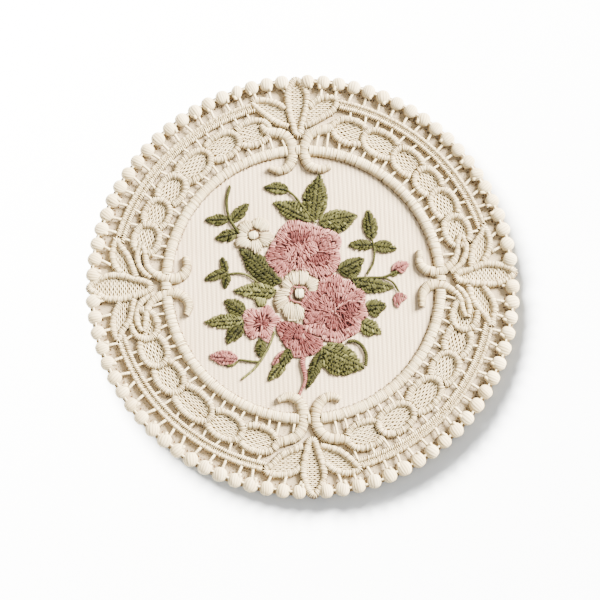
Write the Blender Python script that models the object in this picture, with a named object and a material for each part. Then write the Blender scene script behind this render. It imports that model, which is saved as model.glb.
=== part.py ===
"""A round lace placemat, 200 mm across.

A plain round backing cloth carries three kinds of raised work: a wide lace border made of cord,
a row of wrapped beads round the edge, and an embroidered bouquet in the middle. Every raised
piece is drawn in plan, laid out flat, and given its height by the cords and mounds on it.
Plan sizes are in millimetres, bearings in degrees clockwise from +Y, seen from above.
"""
import math
from dataclasses import dataclass

import bpy
import numpy as np
from mathutils import Vector
from mathutils.geometry import delaunay_2d_cdt

MM = 0.001

# Heights
CLOTH_TOP = 1.0            # upper face of the backing cloth, whose underside is at zero
GAP = 0.3                  # between two pieces that lie on or beside each other
FLOOR = CLOTH_TOP + GAP    # underside of all the raised work
WEB_LEVEL = 2.3            # flat net and cord edges of the lace
CORD_TOP = 3.5             # crest of a lace cord
RING_TOP = 3.6             # crest of the broad ring round the middle
BEAD_SHOULDER = 2.7        # where a bead's side turns into its dome
BEAD_TOP = 5.6
STITCH_LEVEL = 1.8         # edge of an embroidered leaf or petal
STEM_TOP = 2.3
LEAF_TOP = 2.6
PETAL_TOP = 2.8
KNOT_TOP = 3.3

# Radii of the border's rounds
CLOTH_EDGE = 98.0
RING_INNER, RING_OUTER = 61.2, 66.0
CELL_INNER, CELL_OUTER = 66.7, 84.1      # how far the cut gaps of the net reach
WEB_OUTER = 84.9
RAIL_INNER, RAIL_OUTER = 85.2, 89.9
RAIL_CORD = 1.15                         # half the width of each of the rail's two cords
MEDALLION_MIDDLE = 75.8
MEDALLION_HEIGHT = 14.5
MEDALLION_SIDES = 12
CORD = 1.15                              # half the width of an outline cord
BEAD_MIDDLE = 96.6
BEAD_RADIUS = 3.4
BEAD_SIDES = 9
BEADS_PER_QUARTER = 20
BEADS_ON_PALMETTE = 3                    # at each side of a palmette's tip, worked onto it
STEM_HALF = 0.65
BRIDE_HALF = 0.55
# Rows of net gaps: the round they start from, the radius of their point, where the bride ends, and
# how many degrees they reach to each side at the round
CELL_ROWS = ((CELL_OUTER, 79.4, 78.6, 5.2), (CELL_INNER, 71.9, 72.6, 4.4))
CELL_POINT = 0.9                         # and to each side at their point

# The border is pulled a little out of round towards its edge
PULL_THREE, PULL_THREE_AT = 0.44, 16.0
PULL_ONE, PULL_ONE_AT = 0.26, 207.0

# Steps along the rounds, and how far a cord's crest stops short of a rail's end, in degrees
CLOTH_STEPS, RING_STEPS, RAIL_STEPS = 72, 48, 14
RAIL_TRIM, STEM_TRIM = 0.6, 0.8
END_REACH = 0.8            # a cord's end point lies this share of its half width past the line
DOME_RING = 0.62           # the inner round of a dome, as a share of its radii
LEAF_STATIONS = (0.06, 0.22, 0.42, 0.62, 0.82)
VEIN_STATIONS = (0.15, 0.5, 0.85)
LEAF_BELLY, LEAF_FULLNESS = 0.85, 0.75   # shape of a leaf's side: where it is widest, how blunt
PETAL_RING, PETAL_RISE = 0.6, 0.4        # a flower's raised round and its half width, as shares
MERGE = 0.15               # plan points nearer to each other than this become one
LOW = 0.02                 # a rise less than this is flat


@dataclass
class Quarter:
    """One quarter of the border, from one palmette to the next."""

    name: str
    rail: tuple          # bearings where the rail starts and ends
    beads: tuple         # bearings of its first and last bead
    joints: tuple        # bearings where a medallion meets the next, and of both ends of the row
    whole_first: tuple   # at each inner joint, True where the medallion before it lies on top


QUARTERS = (
    Quarter("northeast", (14.3, 73.1), (3.5, 85.6), (13.5, 24.7, 37.1, 47.9, 57.3, 68.0, 78.0),
            (False, False, False, False, False)),
    Quarter("southeast", (106.9, 164.8), (93.3, 176.5), (99.0, 108.4, 118.8, 129.4, 142.5, 155.0, 166.6),
            (True, False, False, False, True)),
    Quarter("southwest", (195.2, 253.1), (183.8, 266.8), (192.7, 204.7, 217.0, 231.3, 242.2, 252.5, 261.7),
            (False, False, False, False, False)),
    Quarter("northwest", (286.9, 345.7), (274.2, 356.3), (283.0, 292.7, 302.5, 313.0, 326.0, 338.0, 349.5),
            (True, True, True, True, True)),
)
NARROW_BEAD = ("northwest", 16, 0.8)     # one bead was wound slimmer than the rest


@dataclass
class Palmette:
    """A five-part leaf figure on the border, in its own plan: x clockwise, y away from the middle."""

    bearing: float
    petal: tuple         # (x, y) round the middle petal's outline cord
    wings: tuple         # (x, y) round each side petal's outline cord
    scrolls: tuple       # (x, y, half width) along each scroll


PALMETTES = (
    Palmette(
        0.0,
        ((0.5, 98.4), (-2.4, 95.3), (-3.9, 91.0), (-3.9, 86.5), (-3.3, 82.0), (-2.1, 76.5), (-0.6, 71.5),
         (1.2, 71.5), (2.4, 76.5), (3.9, 81.5), (5.0, 86.0), (5.2, 90.5), (3.4, 95.0)),
        (((-4.8, 83.8), (-8.6, 86.6), (-12.8, 88.2), (-17.5, 88.7), (-20.4, 87.5), (-18.4, 84.8),
          (-15.2, 81.9), (-11.8, 79.0), (-8.0, 76.8), (-4.2, 75.4)),
         ((5.4, 83.8), (8.4, 86.8), (12.2, 88.5), (16.2, 88.8), (19.2, 87.6), (18.6, 84.4),
          (16.2, 81.7), (12.6, 79.7), (8.6, 77.6), (4.2, 75.6))),
        (((-16.8, 76.2, 1.2), (-14.6, 73.4, 1.9), (-10.0, 72.6, 2.1), (-6.0, 71.2, 2.2), (-3.5, 68.0, 2.2),
          (-2.8, 63.5, 2.2), (-3.1, 59.0, 2.2), (-5.2, 55.6, 2.0), (-9.5, 54.0, 1.7), (-13.8, 55.4, 1.2)),
         ((17.8, 76.6, 1.2), (15.2, 73.6, 1.9), (10.5, 73.0, 2.1), (6.0, 71.2, 2.2), (3.7, 67.5, 2.2),
          (3.0, 63.0, 2.2), (3.3, 58.8, 2.2), (5.6, 55.4, 2.0), (10.3, 54.0, 1.7), (14.5, 55.2, 1.2))),
    ),
    Palmette(
        90.0,
        ((-1.2, 98.4), (-3.9, 95.0), (-5.2, 91.0), (-5.7, 87.0), (-5.6, 83.5), (-3.2, 77.0), (-1.7, 71.5),
         (1.3, 71.5), (2.8, 77.0), (3.6, 82.5), (4.0, 87.0), (3.4, 91.0), (1.6, 95.0)),
        (((-4.8, 82.3), (-8.2, 84.9), (-12.0, 86.9), (-16.5, 87.9), (-21.0, 86.9), (-24.0, 85.4),
          (-20.4, 84.2), (-17.2, 81.8), (-14.0, 79.8), (-9.0, 78.6), (-4.0, 78.0)),
         ((4.2, 82.6), (7.4, 85.0), (11.0, 87.0), (15.4, 88.0), (19.6, 86.8), (23.4, 85.6),
          (19.4, 83.8), (16.4, 81.4), (13.2, 79.2), (9.6, 77.4), (3.6, 76.4))),
        (((-20.0, 74.6, 1.0), (-16.5, 76.3, 1.2), (-12.0, 76.3, 1.2), (-8.0, 74.6, 1.2), (-5.0, 72.0, 1.1),
          (-2.6, 68.6, 1.0)),
         ((-19.8, 74.0, 1.0), (-17.0, 72.6, 1.2), (-12.5, 72.2, 1.3), (-8.4, 70.6, 1.4), (-5.2, 67.6, 1.7),
          (-3.1, 64.0, 2.1), (-3.0, 60.5, 2.2), (-4.0, 57.0, 2.1), (-7.2, 54.2, 1.8), (-13.0, 54.4, 1.2)),
         ((19.0, 75.2, 1.0), (15.6, 76.0, 1.2), (11.5, 75.6, 1.2), (7.4, 73.6, 1.2), (4.4, 70.8, 1.0)),
         ((18.8, 74.2, 1.0), (15.4, 72.9, 1.2), (11.0, 72.3, 1.3), (7.6, 70.2, 1.4), (5.0, 66.9, 1.6),
          (3.3, 63.4, 2.1), (3.0, 60.0, 2.2), (4.2, 56.8, 2.1), (7.6, 54.6, 1.8), (13.2, 54.0, 1.2))),
    ),
    Palmette(
        180.0,
        ((-0.3, 98.5), (-3.4, 95.0), (-5.1, 91.0), (-5.2, 87.0), (-4.3, 82.5), (-3.0, 78.0), (-1.5, 73.5),
         (0.7, 73.5), (2.0, 77.5), (3.4, 82.5), (4.2, 87.5), (3.6, 91.5), (2.4, 95.5)),
        (((-5.6, 83.8), (-8.6, 86.4), (-12.0, 88.2), (-16.5, 88.9), (-20.5, 87.9), (-21.4, 86.4),
          (-18.8, 84.0), (-16.2, 81.2), (-12.8, 78.8), (-8.8, 77.2), (-4.5, 76.0)),
         ((5.2, 85.0), (8.0, 87.4), (12.0, 88.6), (16.5, 88.7), (20.6, 87.6), (21.2, 86.0),
          (18.0, 84.0), (16.0, 81.6), (13.0, 79.4), (8.5, 77.6), (4.0, 76.0))),
        (((-18.2, 76.4, 1.3), (-16.4, 73.8, 1.9), (-12.5, 73.1, 2.0), (-8.0, 72.6, 2.1), (-4.8, 70.2, 2.2),
          (-3.0, 66.5, 2.2), (-2.7, 62.0, 2.2), (-3.7, 58.0, 2.1), (-6.6, 54.6, 1.9), (-10.5, 53.4, 1.7),
          (-14.2, 55.2, 1.2)),
         ((17.2, 76.6, 1.3), (15.0, 74.0, 1.9), (11.0, 73.0, 2.0), (7.0, 71.6, 2.1), (4.4, 68.8, 2.2),
          (3.2, 65.0, 2.2), (2.8, 61.0, 2.2), (3.5, 57.0, 2.1), (5.8, 54.0, 1.9), (10.0, 52.8, 1.7),
          (14.0, 54.4, 1.2))),
    ),
    Palmette(
        270.0,
        ((0.9, 98.6), (-1.8, 95.0), (-4.2, 91.0), (-4.6, 87.0), (-4.7, 84.0), (-3.0, 77.0), (-1.0, 71.5),
         (2.4, 71.5), (4.6, 78.0), (6.4, 84.0), (6.7, 88.0), (6.0, 92.0), (3.8, 96.0)),
        (((-5.0, 83.6), (-8.4, 86.0), (-12.5, 87.6), (-17.0, 88.2), (-21.4, 87.2), (-24.0, 85.6),
          (-20.4, 84.6), (-17.4, 82.4), (-14.4, 80.4), (-9.5, 79.2), (-4.5, 78.4)),
         ((7.0, 83.6), (9.6, 86.0), (12.8, 87.4), (17.0, 88.0), (20.6, 87.2), (24.0, 85.8),
          (20.0, 84.0), (16.8, 81.6), (13.0, 79.8), (9.0, 78.4), (5.0, 77.2))),
        (((-20.0, 74.8, 1.0), (-16.5, 76.9, 1.2), (-11.5, 77.3, 1.2), (-7.0, 75.6, 1.2), (-4.2, 72.2, 1.1),
          (-2.4, 68.6, 1.0)),
         ((-19.8, 74.2, 1.0), (-15.5, 73.2, 1.2), (-10.4, 72.6, 1.4), (-6.4, 70.4, 1.5), (-3.8, 66.6, 1.8),
          (-2.5, 62.6, 2.0), (-2.8, 58.8, 2.0), (-4.8, 55.4, 1.9), (-8.6, 53.4, 1.7), (-13.0, 54.6, 1.2)),
         ((20.4, 75.0, 1.0), (16.4, 76.4, 1.2), (11.6, 76.0, 1.2), (7.6, 73.8, 1.2), (5.0, 70.8, 1.0)),
         ((20.2, 74.2, 1.0), (16.2, 72.8, 1.2), (11.0, 72.2, 1.3), (7.6, 70.0, 1.5), (5.4, 66.8, 1.8),
          (4.2, 63.0, 2.1), (4.1, 59.2, 2.1), (5.6, 55.8, 2.0), (9.4, 53.6, 1.7), (14.0, 54.4, 1.2))),
    ),
)
# Where the stems of a palmette's own beads are rooted, from its tip outwards, at either side
PALMETTE_ROOTS = ((4.6, 91.5), (11.6, 88.0), (18.4, 87.6))
# The gaps under a palmette's scrolls, at either side
PALMETTE_CELLS = (
    ((5.6, 66.6), (7.0, 66.6), (7.0, 70.4), (5.6, 70.0)),
    ((8.2, 66.4), (12.6, 66.0), (12.6, 72.0), (8.2, 72.0)),
    ((13.9, 65.8), (17.8, 65.0), (16.2, 70.6), (13.9, 71.0)),
)

LEAF_LIGHT, LEAF_MID, LEAF_DARK = (0.36, 0.39, 0.16), (0.26, 0.29, 0.10), (0.12, 0.15, 0.05)
ROSE_LIGHT, ROSE_MID, ROSE_DARK = (0.68, 0.36, 0.37), (0.55, 0.24, 0.25), (0.43, 0.14, 0.16)
IVORY, CREAM, LINEN = (0.86, 0.81, 0.71), (0.83, 0.76, 0.64), (0.86, 0.82, 0.75)


@dataclass
class Leaf:
    """A pointed leaf, from where its stalk meets it to its tip."""

    base: tuple
    tip: tuple
    width: float


@dataclass
class Stalk:
    """A stitched stem of one width along a few points."""

    points: tuple
    width: float = 1.3


@dataclass
class Blossom:
    """A round flower with notched petals, flatter or longer one way, and sunk or knotted in its middle."""

    centre: tuple
    radii: tuple
    petals: int
    turn: float = 0.0
    notch: float = 0.16
    knot: float = 0.0


@dataclass
class Motif:
    """A piece of the bouquet that is worked in one colour."""

    name: str
    colour: tuple
    shapes: tuple


# From the uppermost piece down: each is cut clear of those above it
BOUQUET = (
    Motif("flower_ivory_middle", IVORY, (Blossom((-3.8, -6.2), (10.6, 11.8), 8, 12.0, 0.2, 2.6),)),
    Motif("rose_east_heart", ROSE_DARK, (Leaf((13.6, -14.6), (26.4, -14.8), 12.5),)),
    Motif("rose_east", ROSE_MID, (Blossom((13.4, -12.6), (15.4, 15.4), 9, 8.0, 0.12),)),
    Motif("rose_north", ROSE_LIGHT, (Blossom((1.0, 16.0), (17.8, 13.9), 9, 20.0, 0.13),)),
    Motif("flower_pink_west", ROSE_LIGHT, (Blossom((-20.6, -18.2), (9.2, 8.8), 6, 25.0, 0.2),)),
    Motif("blossom_south", ROSE_DARK, (Blossom((-3.0, -26.0), (11.0, 9.0), 7, 5.0, 0.16),)),
    Motif("flower_ivory_northwest", IVORY, (Blossom((-22.4, 23.4), (9.0, 7.8), 6, 0.0, 0.22, 2.3),)),
    Motif("berry_west", LEAF_LIGHT, (Blossom((-19.6, -8.0), (3.2, 2.7), 5, 0.0, 0.06),)),
    Motif("leaf_north_tall", LEAF_MID, (Leaf((6.0, 29.5), (9.4, 51.6), 11.6),)),
    Motif("leaf_north_east", LEAF_MID, (Leaf((8.5, 28.4), (27.0, 32.0), 10.6),)),
    Motif("sprig_north", LEAF_MID, (Leaf((-5.0, 44.6), (-17.5, 46.4), 5.6),
                                    Stalk(((-6.0, 44.6), (-1.5, 40.6), (2.5, 35.0), (6.5, 28.6))))),
    Motif("leaf_north_west", LEAF_MID, (Leaf((4.4, 29.4), (-13.2, 39.6), 8.6),)),
    Motif("leaf_west_dark", LEAF_DARK, (Leaf((-10.0, 0.6), (-29.6, 18.4), 11.5),)),
    Motif("leaf_west_light", LEAF_LIGHT, (Leaf((-13.0, -4.0), (-34.0, -2.6), 8.0),)),
    Motif("leaf_east_dark", LEAF_DARK, (Leaf((16.6, 4.2), (29.0, 11.0), 8.6),)),
    Motif("leaf_east_long", LEAF_MID, (Leaf((22.0, 0.4), (43.0, -4.6), 7.6),)),
    Motif("leaf_east_short", LEAF_MID, (Leaf((27.0, -12.6), (38.4, -12.2), 7.6),)),
    Motif("leaf_southeast", LEAF_MID, (Leaf((24.4, -20.0), (35.2, -25.2), 8.0),)),
    Motif("leaf_south_broad", LEAF_MID, (Leaf((6.4, -30.8), (26.0, -41.2), 12.6),)),
    Motif("leaf_south_dark", LEAF_DARK, (Leaf((6.4, -32.8), (0.2, -50.4), 5.4),)),
    Motif("stalk_south_pink", ROSE_MID, (Stalk(((-1.6, -34.4), (-2.0, -40.0), (-1.4, -45.6),
                                               (-3.8, -50.2)), 2.4),)),
    Motif("petal_south_strip", ROSE_LIGHT, (Leaf((-10.8, -31.6), (-16.8, -39.4), 3.0),)),
    Motif("leaf_south_tip", LEAF_LIGHT, (Leaf((-7.2, -30.6), (-18.8, -45.6), 6.6),)),
    Motif("leaf_southwest_upper", LEAF_DARK, (Leaf((-27.6, -13.4), (-37.2, -6.2), 7.2),)),
    Motif("leaf_southwest_middle", LEAF_LIGHT, (Leaf((-29.0, -17.0), (-47.2, -17.0), 6.8),)),
    Motif("leaf_southwest_lower", LEAF_DARK, (Leaf((-29.0, -17.2), (-37.2, -27.4), 6.6),)),
    Motif("leaf_southwest_small", LEAF_DARK, (Leaf((-20.4, -26.0), (-22.0, -35.0), 4.6),)),
    Motif("bud_southwest", ROSE_MID, (Leaf((-31.6, -34.8), (-45.4, -32.6), 6.8),)),
    Motif("tendril_southwest", LEAF_MID, (Stalk(((-30.6, -35.0), (-26.0, -35.8), (-22.0, -36.2))),
                                          Stalk(((-14.6, -24.0), (-18.6, -32.0), (-23.4, -38.4), (-30.0, -43.4))))),
    Motif("tendril_south", LEAF_MID, (Stalk(((19.4, -28.0), (24.2, -29.6), (27.0, -34.6), (26.4, -39.6)), 1.7),)),
    Motif("sprig_northwest", LEAF_MID, (Stalk(((-32.6, 47.0), (-34.0, 39.0), (-33.4, 32.6), (-29.6, 24.6)), 1.5),
                                        Leaf((-32.4, 31.0), (-24.0, 39.4), 5.2),
                                        Leaf((-33.4, 31.0), (-45.0, 31.6), 5.2),
                                        Leaf((-29.4, 24.4), (-40.6, 22.2), 5.4))),
    Motif("sprig_west", LEAF_MID, (Stalk(((-36.4, 5.0), (-30.0, 5.8), (-25.0, 4.4), (-21.4, 1.2))),
                                   Leaf((-35.4, 6.6), (-37.8, 14.2), 3.6),
                                   Leaf((-35.4, 6.6), (-46.4, 2.8), 4.6),
                                   Leaf((-35.6, 6.4), (-37.2, -1.6), 3.6))),
    Motif("sprig_east", LEAF_MID, (Stalk(((32.0, 19.6), (33.4, 14.6), (32.4, 8.4), (29.0, 3.0))),
                                   Leaf((32.4, 19.0), (31.0, 34.4), 6.8),
                                   Leaf((32.8, 17.0), (20.6, 17.2), 5.2),
                                   Leaf((32.6, 17.0), (44.6, 14.6), 6.2))),
    Motif("bud_east", ROSE_MID, (Leaf((41.0, 4.0), (49.6, 7.8), 5.6),)),
    Motif("bud_southeast", ROSE_MID, (Blossom((43.8, -9.6), (3.1, 3.6), 4, 0.0, 0.2),)),
    Motif("tendril_east", LEAF_MID, (Stalk(((23.6, 1.0), (32.0, 1.4), (38.0, 1.6), (43.0, 3.0)), 1.5),
                                     Stalk(((37.6, 0.8), (41.4, -1.6), (43.4, -5.4)), 1.2))),
)


def polar(radius, bearing):
    """The plan point at a radius and a bearing."""
    angle = math.radians(bearing)
    return radius * math.sin(angle), radius * math.cos(angle)


def turned(points, bearing):
    """Points of a palmette's own plan, brought to its bearing on the mat."""
    c, s = math.cos(math.radians(bearing)), math.sin(math.radians(bearing))
    return [(p[0] * c + p[1] * s, -p[0] * s + p[1] * c) + tuple(p[2:]) for p in points]


def smooth(points, steps, closed=False):
    """A soft line through the points, with the given steps between one and the next."""
    p = np.array(points, float)
    count = len(p)
    spans = count if closed else count - 1
    out = []
    for i in range(spans):
        a, b = p[i], p[(i + 1) % count]
        before = p[i - 1] if closed or i else 2 * a - b
        after = p[(i + 2) % count] if closed or i + 2 < count else 2 * b - a
        for t in np.arange(steps) / steps:
            out.append(0.5 * (2 * a + (b - before) * t + (2 * before - 5 * a + 4 * b - after) * t ** 2
                              + (3 * a - before - 3 * b + after) * t ** 3))
    if not closed:
        out.append(p[-1])
    return np.array(out)


def normals(line, closed=False):
    """Unit vectors to the left of a line at each of its points."""
    if closed:
        along = np.roll(line, -1, 0) - np.roll(line, 1, 0)
    else:
        along = np.gradient(line, axis=0)
    across = np.stack([-along[:, 1], along[:, 0]], 1)
    return across / np.linalg.norm(across, axis=1)[:, None]


def grown(loop, by):
    """A closed outline, anticlockwise, moved outwards by a distance."""
    return loop - normals(loop, True) * by


def inside(points, loop):
    """Which of the points lie inside a closed outline."""
    x, y = points[:, 0, None], points[:, 1, None]
    x0, y0 = loop[:, 0], loop[:, 1]
    x1, y1 = np.roll(x0, -1), np.roll(y0, -1)
    rise = np.where(y1 == y0, 1e-12, y1 - y0)
    crossed = ((y0 > y) != (y1 > y)) & (x < (x1 - x0) * (y - y0) / rise + x0)
    return crossed.sum(1) % 2 == 1


def strip(line, half, round_ends=True):
    """The outline of a cord of the given half width, or half widths, along an open line."""
    across = normals(line) * np.broadcast_to(half, len(line))[:, None]
    left, right = line + across, line - across
    if not round_ends:
        return np.concatenate([right, left[::-1]])
    start = line[0] + (line[0] - line[1]) / np.linalg.norm(line[0] - line[1]) * np.ravel(half)[0] * END_REACH
    end = line[-1] + (line[-1] - line[-2]) / np.linalg.norm(line[-1] - line[-2]) * np.ravel(half)[-1] * END_REACH
    return np.concatenate([right, [end], left[::-1], [start]])


def arc(radius, first, last, count):
    """Points along a round of the mat, clockwise."""
    return np.array([polar(radius, b) for b in np.linspace(first, last, count)])


def pulled(points):
    """Where plan points lie once the border has been pulled out of round."""
    x, y = points[:, 0], points[:, 1]
    radius, bearing = np.hypot(x, y), np.degrees(np.arctan2(x, y))
    pull = (PULL_THREE * np.cos(np.radians(3 * (bearing - PULL_THREE_AT)))
            + PULL_ONE * np.cos(np.radians(bearing - PULL_ONE_AT)))
    share = np.clip((radius - RING_INNER) / (BEAD_MIDDLE - RING_INNER), 0, 1)
    return points * (1 + pull * share / np.maximum(radius, 1))[:, None]


def give_material(thing, colour, roughness):
    """Gives an object its own cloth or thread colour."""
    material = bpy.data.materials.new(thing.name)
    material.use_nodes = True
    shader = material.node_tree.nodes["Principled BSDF"]
    shader.inputs["Base Color"].default_value = (*colour, 1.0)
    shader.inputs["Roughness"].default_value = roughness
    shader.inputs["Metallic"].default_value = 0.0
    thing.data.materials.append(material)


class Relief:
    """A flat-bottomed solid, drawn in plan, whose top follows the cords and mounds laid on it."""

    def __init__(self, name, level, floor=FLOOR):
        self.name, self.level, self.floor = name, level, floor
        self.sheets, self.gaps, self.laid, self.clearances = [], [], [], []
        self.lines, self.ridges, self.mounds = [], [], []

    def draw(self, line, closed=True):
        """Makes a line an edge of the surface."""
        self.lines.append((np.array(line)[:, :2], closed))

    def sheet(self, *loops):
        """Flat work between outlines, one inside the other, which gaps cut through."""
        for loop in loops:
            self.draw(loop)
        self.sheets.append(loops)

    def gap(self, loop):
        """A gap that is cut through the flat work."""
        self.draw(loop)
        self.gaps.append(loop)

    def lay(self, loop):
        """Work laid over the flat work and over its gaps."""
        self.draw(loop)
        self.laid.append(loop)

    def keep_clear(self, loop):
        """An outline whose inside belongs to another piece."""
        self.draw(loop)
        self.clearances.append(loop)

    def ridge(self, line, half, top, closed=False):
        """A rounded ridge along a line, as high as its top there and down to the level at its edges."""
        self.draw(line, closed)
        path = np.concatenate([line, line[:1]]) if closed else line
        halves = np.broadcast_to(half, len(line)).astype(float)
        halves = np.concatenate([halves, halves[:1]]) if closed else halves
        self.ridges.append((path, halves, top))

    def cord(self, line, half, top=CORD_TOP, trim=1):
        """A cord along an open line: its own outline, and a ridge that stops short of its ends."""
        half = np.broadcast_to(half, len(line)).astype(float)
        self.lay(strip(line, half))
        self.ridge(line[trim:len(line) - trim], half[trim:len(line) - trim], top)

    def mound(self, centre, radii, turn, base, top, sides):
        """A dome on an ellipse, from its base height at the rim to its top in the middle."""
        c, s = math.cos(math.radians(turn)), math.sin(math.radians(turn))
        for share, count in ((1.0, sides), (DOME_RING, sides // 2)):
            t = np.arange(count) / count * math.tau
            u, v = radii[0] * share * np.cos(t), radii[1] * share * np.sin(t)
            loop = np.stack([centre[0] + u * c + v * s, centre[1] - u * s + v * c], 1)
            if share == 1.0:
                self.lay(loop)
            else:
                self.draw(loop)
        self.mounds.append((centre, radii, turn, base, top))

    def height(self, points):
        """How high the top is at plan points."""
        high = np.full(len(points), self.level)
        for path, halves, top in self.ridges:
            a, b = path[:-1], path[1:]
            step = b - a
            t = ((points[:, None] - a) * step).sum(2) / (step ** 2).sum(1)
            t = np.clip(t, 0, 1)
            away = np.linalg.norm(points[:, None] - (a + t[:, :, None] * step), axis=2)
            half = halves[:-1] + (halves[1:] - halves[:-1]) * t
            share = np.sqrt(np.clip(1 - (away / half) ** 2, 0, 1)).max(1)
            high = np.maximum(high, self.level + (top - self.level) * share)
        for centre, radii, turn, base, top in self.mounds:
            c, s = math.cos(math.radians(turn)), math.sin(math.radians(turn))
            dx, dy = points[:, 0] - centre[0], points[:, 1] - centre[1]
            share = ((dx * c - dy * s) / radii[0]) ** 2 + ((dx * s + dy * c) / radii[1]) ** 2
            dome = base + (top - base) * np.sqrt(np.clip(1 - share, 0, 1))
            high = np.where(share < 1.02, np.maximum(high, dome), high)
        return high

    def covered(self, points):
        """Which plan points are inside the solid."""
        flat = np.zeros(len(points), bool)
        for loops in self.sheets:
            count = sum(inside(points, loop).astype(int) for loop in loops)
            flat |= count % 2 == 1
        for loop in self.gaps:
            flat &= ~inside(points, loop)
        for loop in self.laid:
            flat |= inside(points, loop)
        for loop in self.clearances:
            flat &= ~inside(points, loop)
        return flat

    def cleared(self, plan, faces):
        """The same surface, without the lines that cross its flat stretches."""
        flat = self.height(plan)[faces].max(1) < self.level + LOW
        sides = {tuple(sorted((int(f[i]), int(f[(i + 1) % 3])))) for f in faces[~flat] for i in range(3)}
        sides |= {tuple(sorted(map(int, side))) for side in rim_of(faces)}
        used = sorted({v for side in sides for v in side})
        place = {v: i for i, v in enumerate(used)}
        edges = [(place[a], place[b]) for a, b in sides]
        again, new_faces = triangulated([Vector(plan[v]) for v in used], edges, 0.0)
        return again, new_faces[enclosed(again[new_faces].mean(1), plan[rim_of(faces)])]

    def solid(self, colour, roughness=0.9, warp=None):
        """Builds the closed mesh and its object."""
        points, edges = [], []
        for line, closed in self.lines:
            first = len(points)
            points += [Vector(p) for p in line]
            edges += [(first + i, first + i + 1) for i in range(len(line) - 1)]
            if closed:
                edges.append((len(points) - 1, first))
        plan, faces = triangulated(points, edges, MERGE)
        kept = whole(faces[self.covered(plan[faces].mean(1))])
        plan, kept = self.cleared(plan, kept)
        rim = rim_of(kept)
        used = np.unique(rim)
        place = {int(v): i for i, v in enumerate(used)}
        rim_edges = [(place[int(a)], place[int(b)]) for a, b in rim]
        flat, flat_faces = triangulated([Vector(plan[v]) for v in used], rim_edges, 0.0)
        centres = flat[flat_faces].mean(1)
        under = flat_faces[enclosed(centres, plan[rim])]
        top_used = np.unique(kept)
        top_place = np.full(len(plan), -1)
        top_place[top_used] = np.arange(len(top_used))
        count = len(top_used)
        xy = plan[top_used]
        heights = self.height(xy)
        low = plan[used]
        if warp:
            xy, low = warp(xy), warp(low)
        vertices = np.concatenate([np.column_stack([xy, heights]),
                                   np.column_stack([low, np.full(len(low), self.floor)])])
        mesh_faces = [tuple(int(v) for v in top_place[f]) for f in kept]
        mesh_faces += [tuple(int(v) + count for v in f[::-1]) for f in under]
        for a, b in rim:
            mesh_faces.append((int(top_place[b]), int(top_place[a]), place[int(a)] + count, place[int(b)] + count))
        mesh = bpy.data.meshes.new(self.name)
        mesh.from_pydata((vertices * MM).tolist(), [], mesh_faces)
        mesh.shade_smooth()
        mesh.set_sharp_from_angle(angle=math.radians(50))
        thing = bpy.data.objects.new(self.name, mesh)
        bpy.context.scene.collection.objects.link(thing)
        give_material(thing, colour, roughness)
        return thing


def triangulated(points, edges, merge):
    """Triangles over plan points that keep every given edge, anticlockwise."""
    out = delaunay_2d_cdt(points, edges, [], 0, merge, False)
    plan = np.array([tuple(p) for p in out[0]])
    faces = np.array([tuple(f) for f in out[2]])
    a, b, c = plan[faces[:, 0]], plan[faces[:, 1]], plan[faces[:, 2]]
    area = (b[:, 0] - a[:, 0]) * (c[:, 1] - a[:, 1]) - (b[:, 1] - a[:, 1]) * (c[:, 0] - a[:, 0])
    faces[area < 0] = faces[area < 0][:, ::-1]
    return plan, faces


def rim_of(faces):
    """The directed edges that only one of the faces has."""
    sides = {(int(f[i]), int(f[(i + 1) % 3])) for f in faces for i in range(3)}
    return np.array([s for s in sorted(sides) if (s[1], s[0]) not in sides])


def enclosed(points, rim):
    """Which points lie inside the outline made by loose edges."""
    x, y = points[:, 0, None], points[:, 1, None]
    (x0, y0), (x1, y1) = rim[:, 0].T, rim[:, 1].T
    rise = np.where(y1 == y0, 1e-12, y1 - y0)
    crossed = ((y0 > y) != (y1 > y)) & (x < (x1 - x0) * (y - y0) / rise + x0)
    return crossed.sum(1) % 2 == 1


def whole(faces):
    """The largest joined patch of faces, with no two of its parts touching at a mere corner."""
    while True:
        faces = largest(faces)
        rim = rim_of(faces)
        corner, times = np.unique(rim[:, 0], return_counts=True)
        pinched = corner[times > 1]
        if not len(pinched):
            return faces
        touching = np.isin(faces, pinched).any(1)
        by_fan = [fan for v in pinched for fan in fans(faces, np.flatnonzero((faces == v).any(1) & touching), v)]
        drop = min(by_fan, key=len)
        faces = np.delete(faces, drop, 0)


def fans(faces, around, corner):
    """The faces round a corner, in groups that share an edge at it."""
    groups = []
    for face in around:
        ends = {int(v) for v in faces[face] if v != corner}
        joined = [g for g in groups if g[1] & ends]
        for g in joined:
            groups.remove(g)
        groups.append(([face] + [f for g in joined for f in g[0]], ends.union(*[g[1] for g in joined])))
    return [g[0] for g in groups]


def largest(faces):
    """The largest patch of faces that are joined by their edges."""
    owner = {}
    for i, f in enumerate(faces):
        for k in range(3):
            owner.setdefault(frozenset((int(f[k]), int(f[(k + 1) % 3]))), []).append(i)
    beside = [[] for _ in faces]
    for pair in owner.values():
        if len(pair) == 2:
            beside[pair[0]].append(pair[1])
            beside[pair[1]].append(pair[0])
    seen, best = set(), []
    for start in range(len(faces)):
        if start in seen:
            continue
        patch, queue = [], [start]
        seen.add(start)
        while queue:
            face = queue.pop()
            patch.append(face)
            for other in beside[face]:
                if other not in seen:
                    seen.add(other)
                    queue.append(other)
        best = max(best, patch, key=len)
    return faces[sorted(best)]


def bead_bearings(quarter):
    """The bearings of a quarter's beads, evenly from its first to its last."""
    return np.linspace(*quarter.beads, BEADS_PER_QUARTER)


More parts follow.
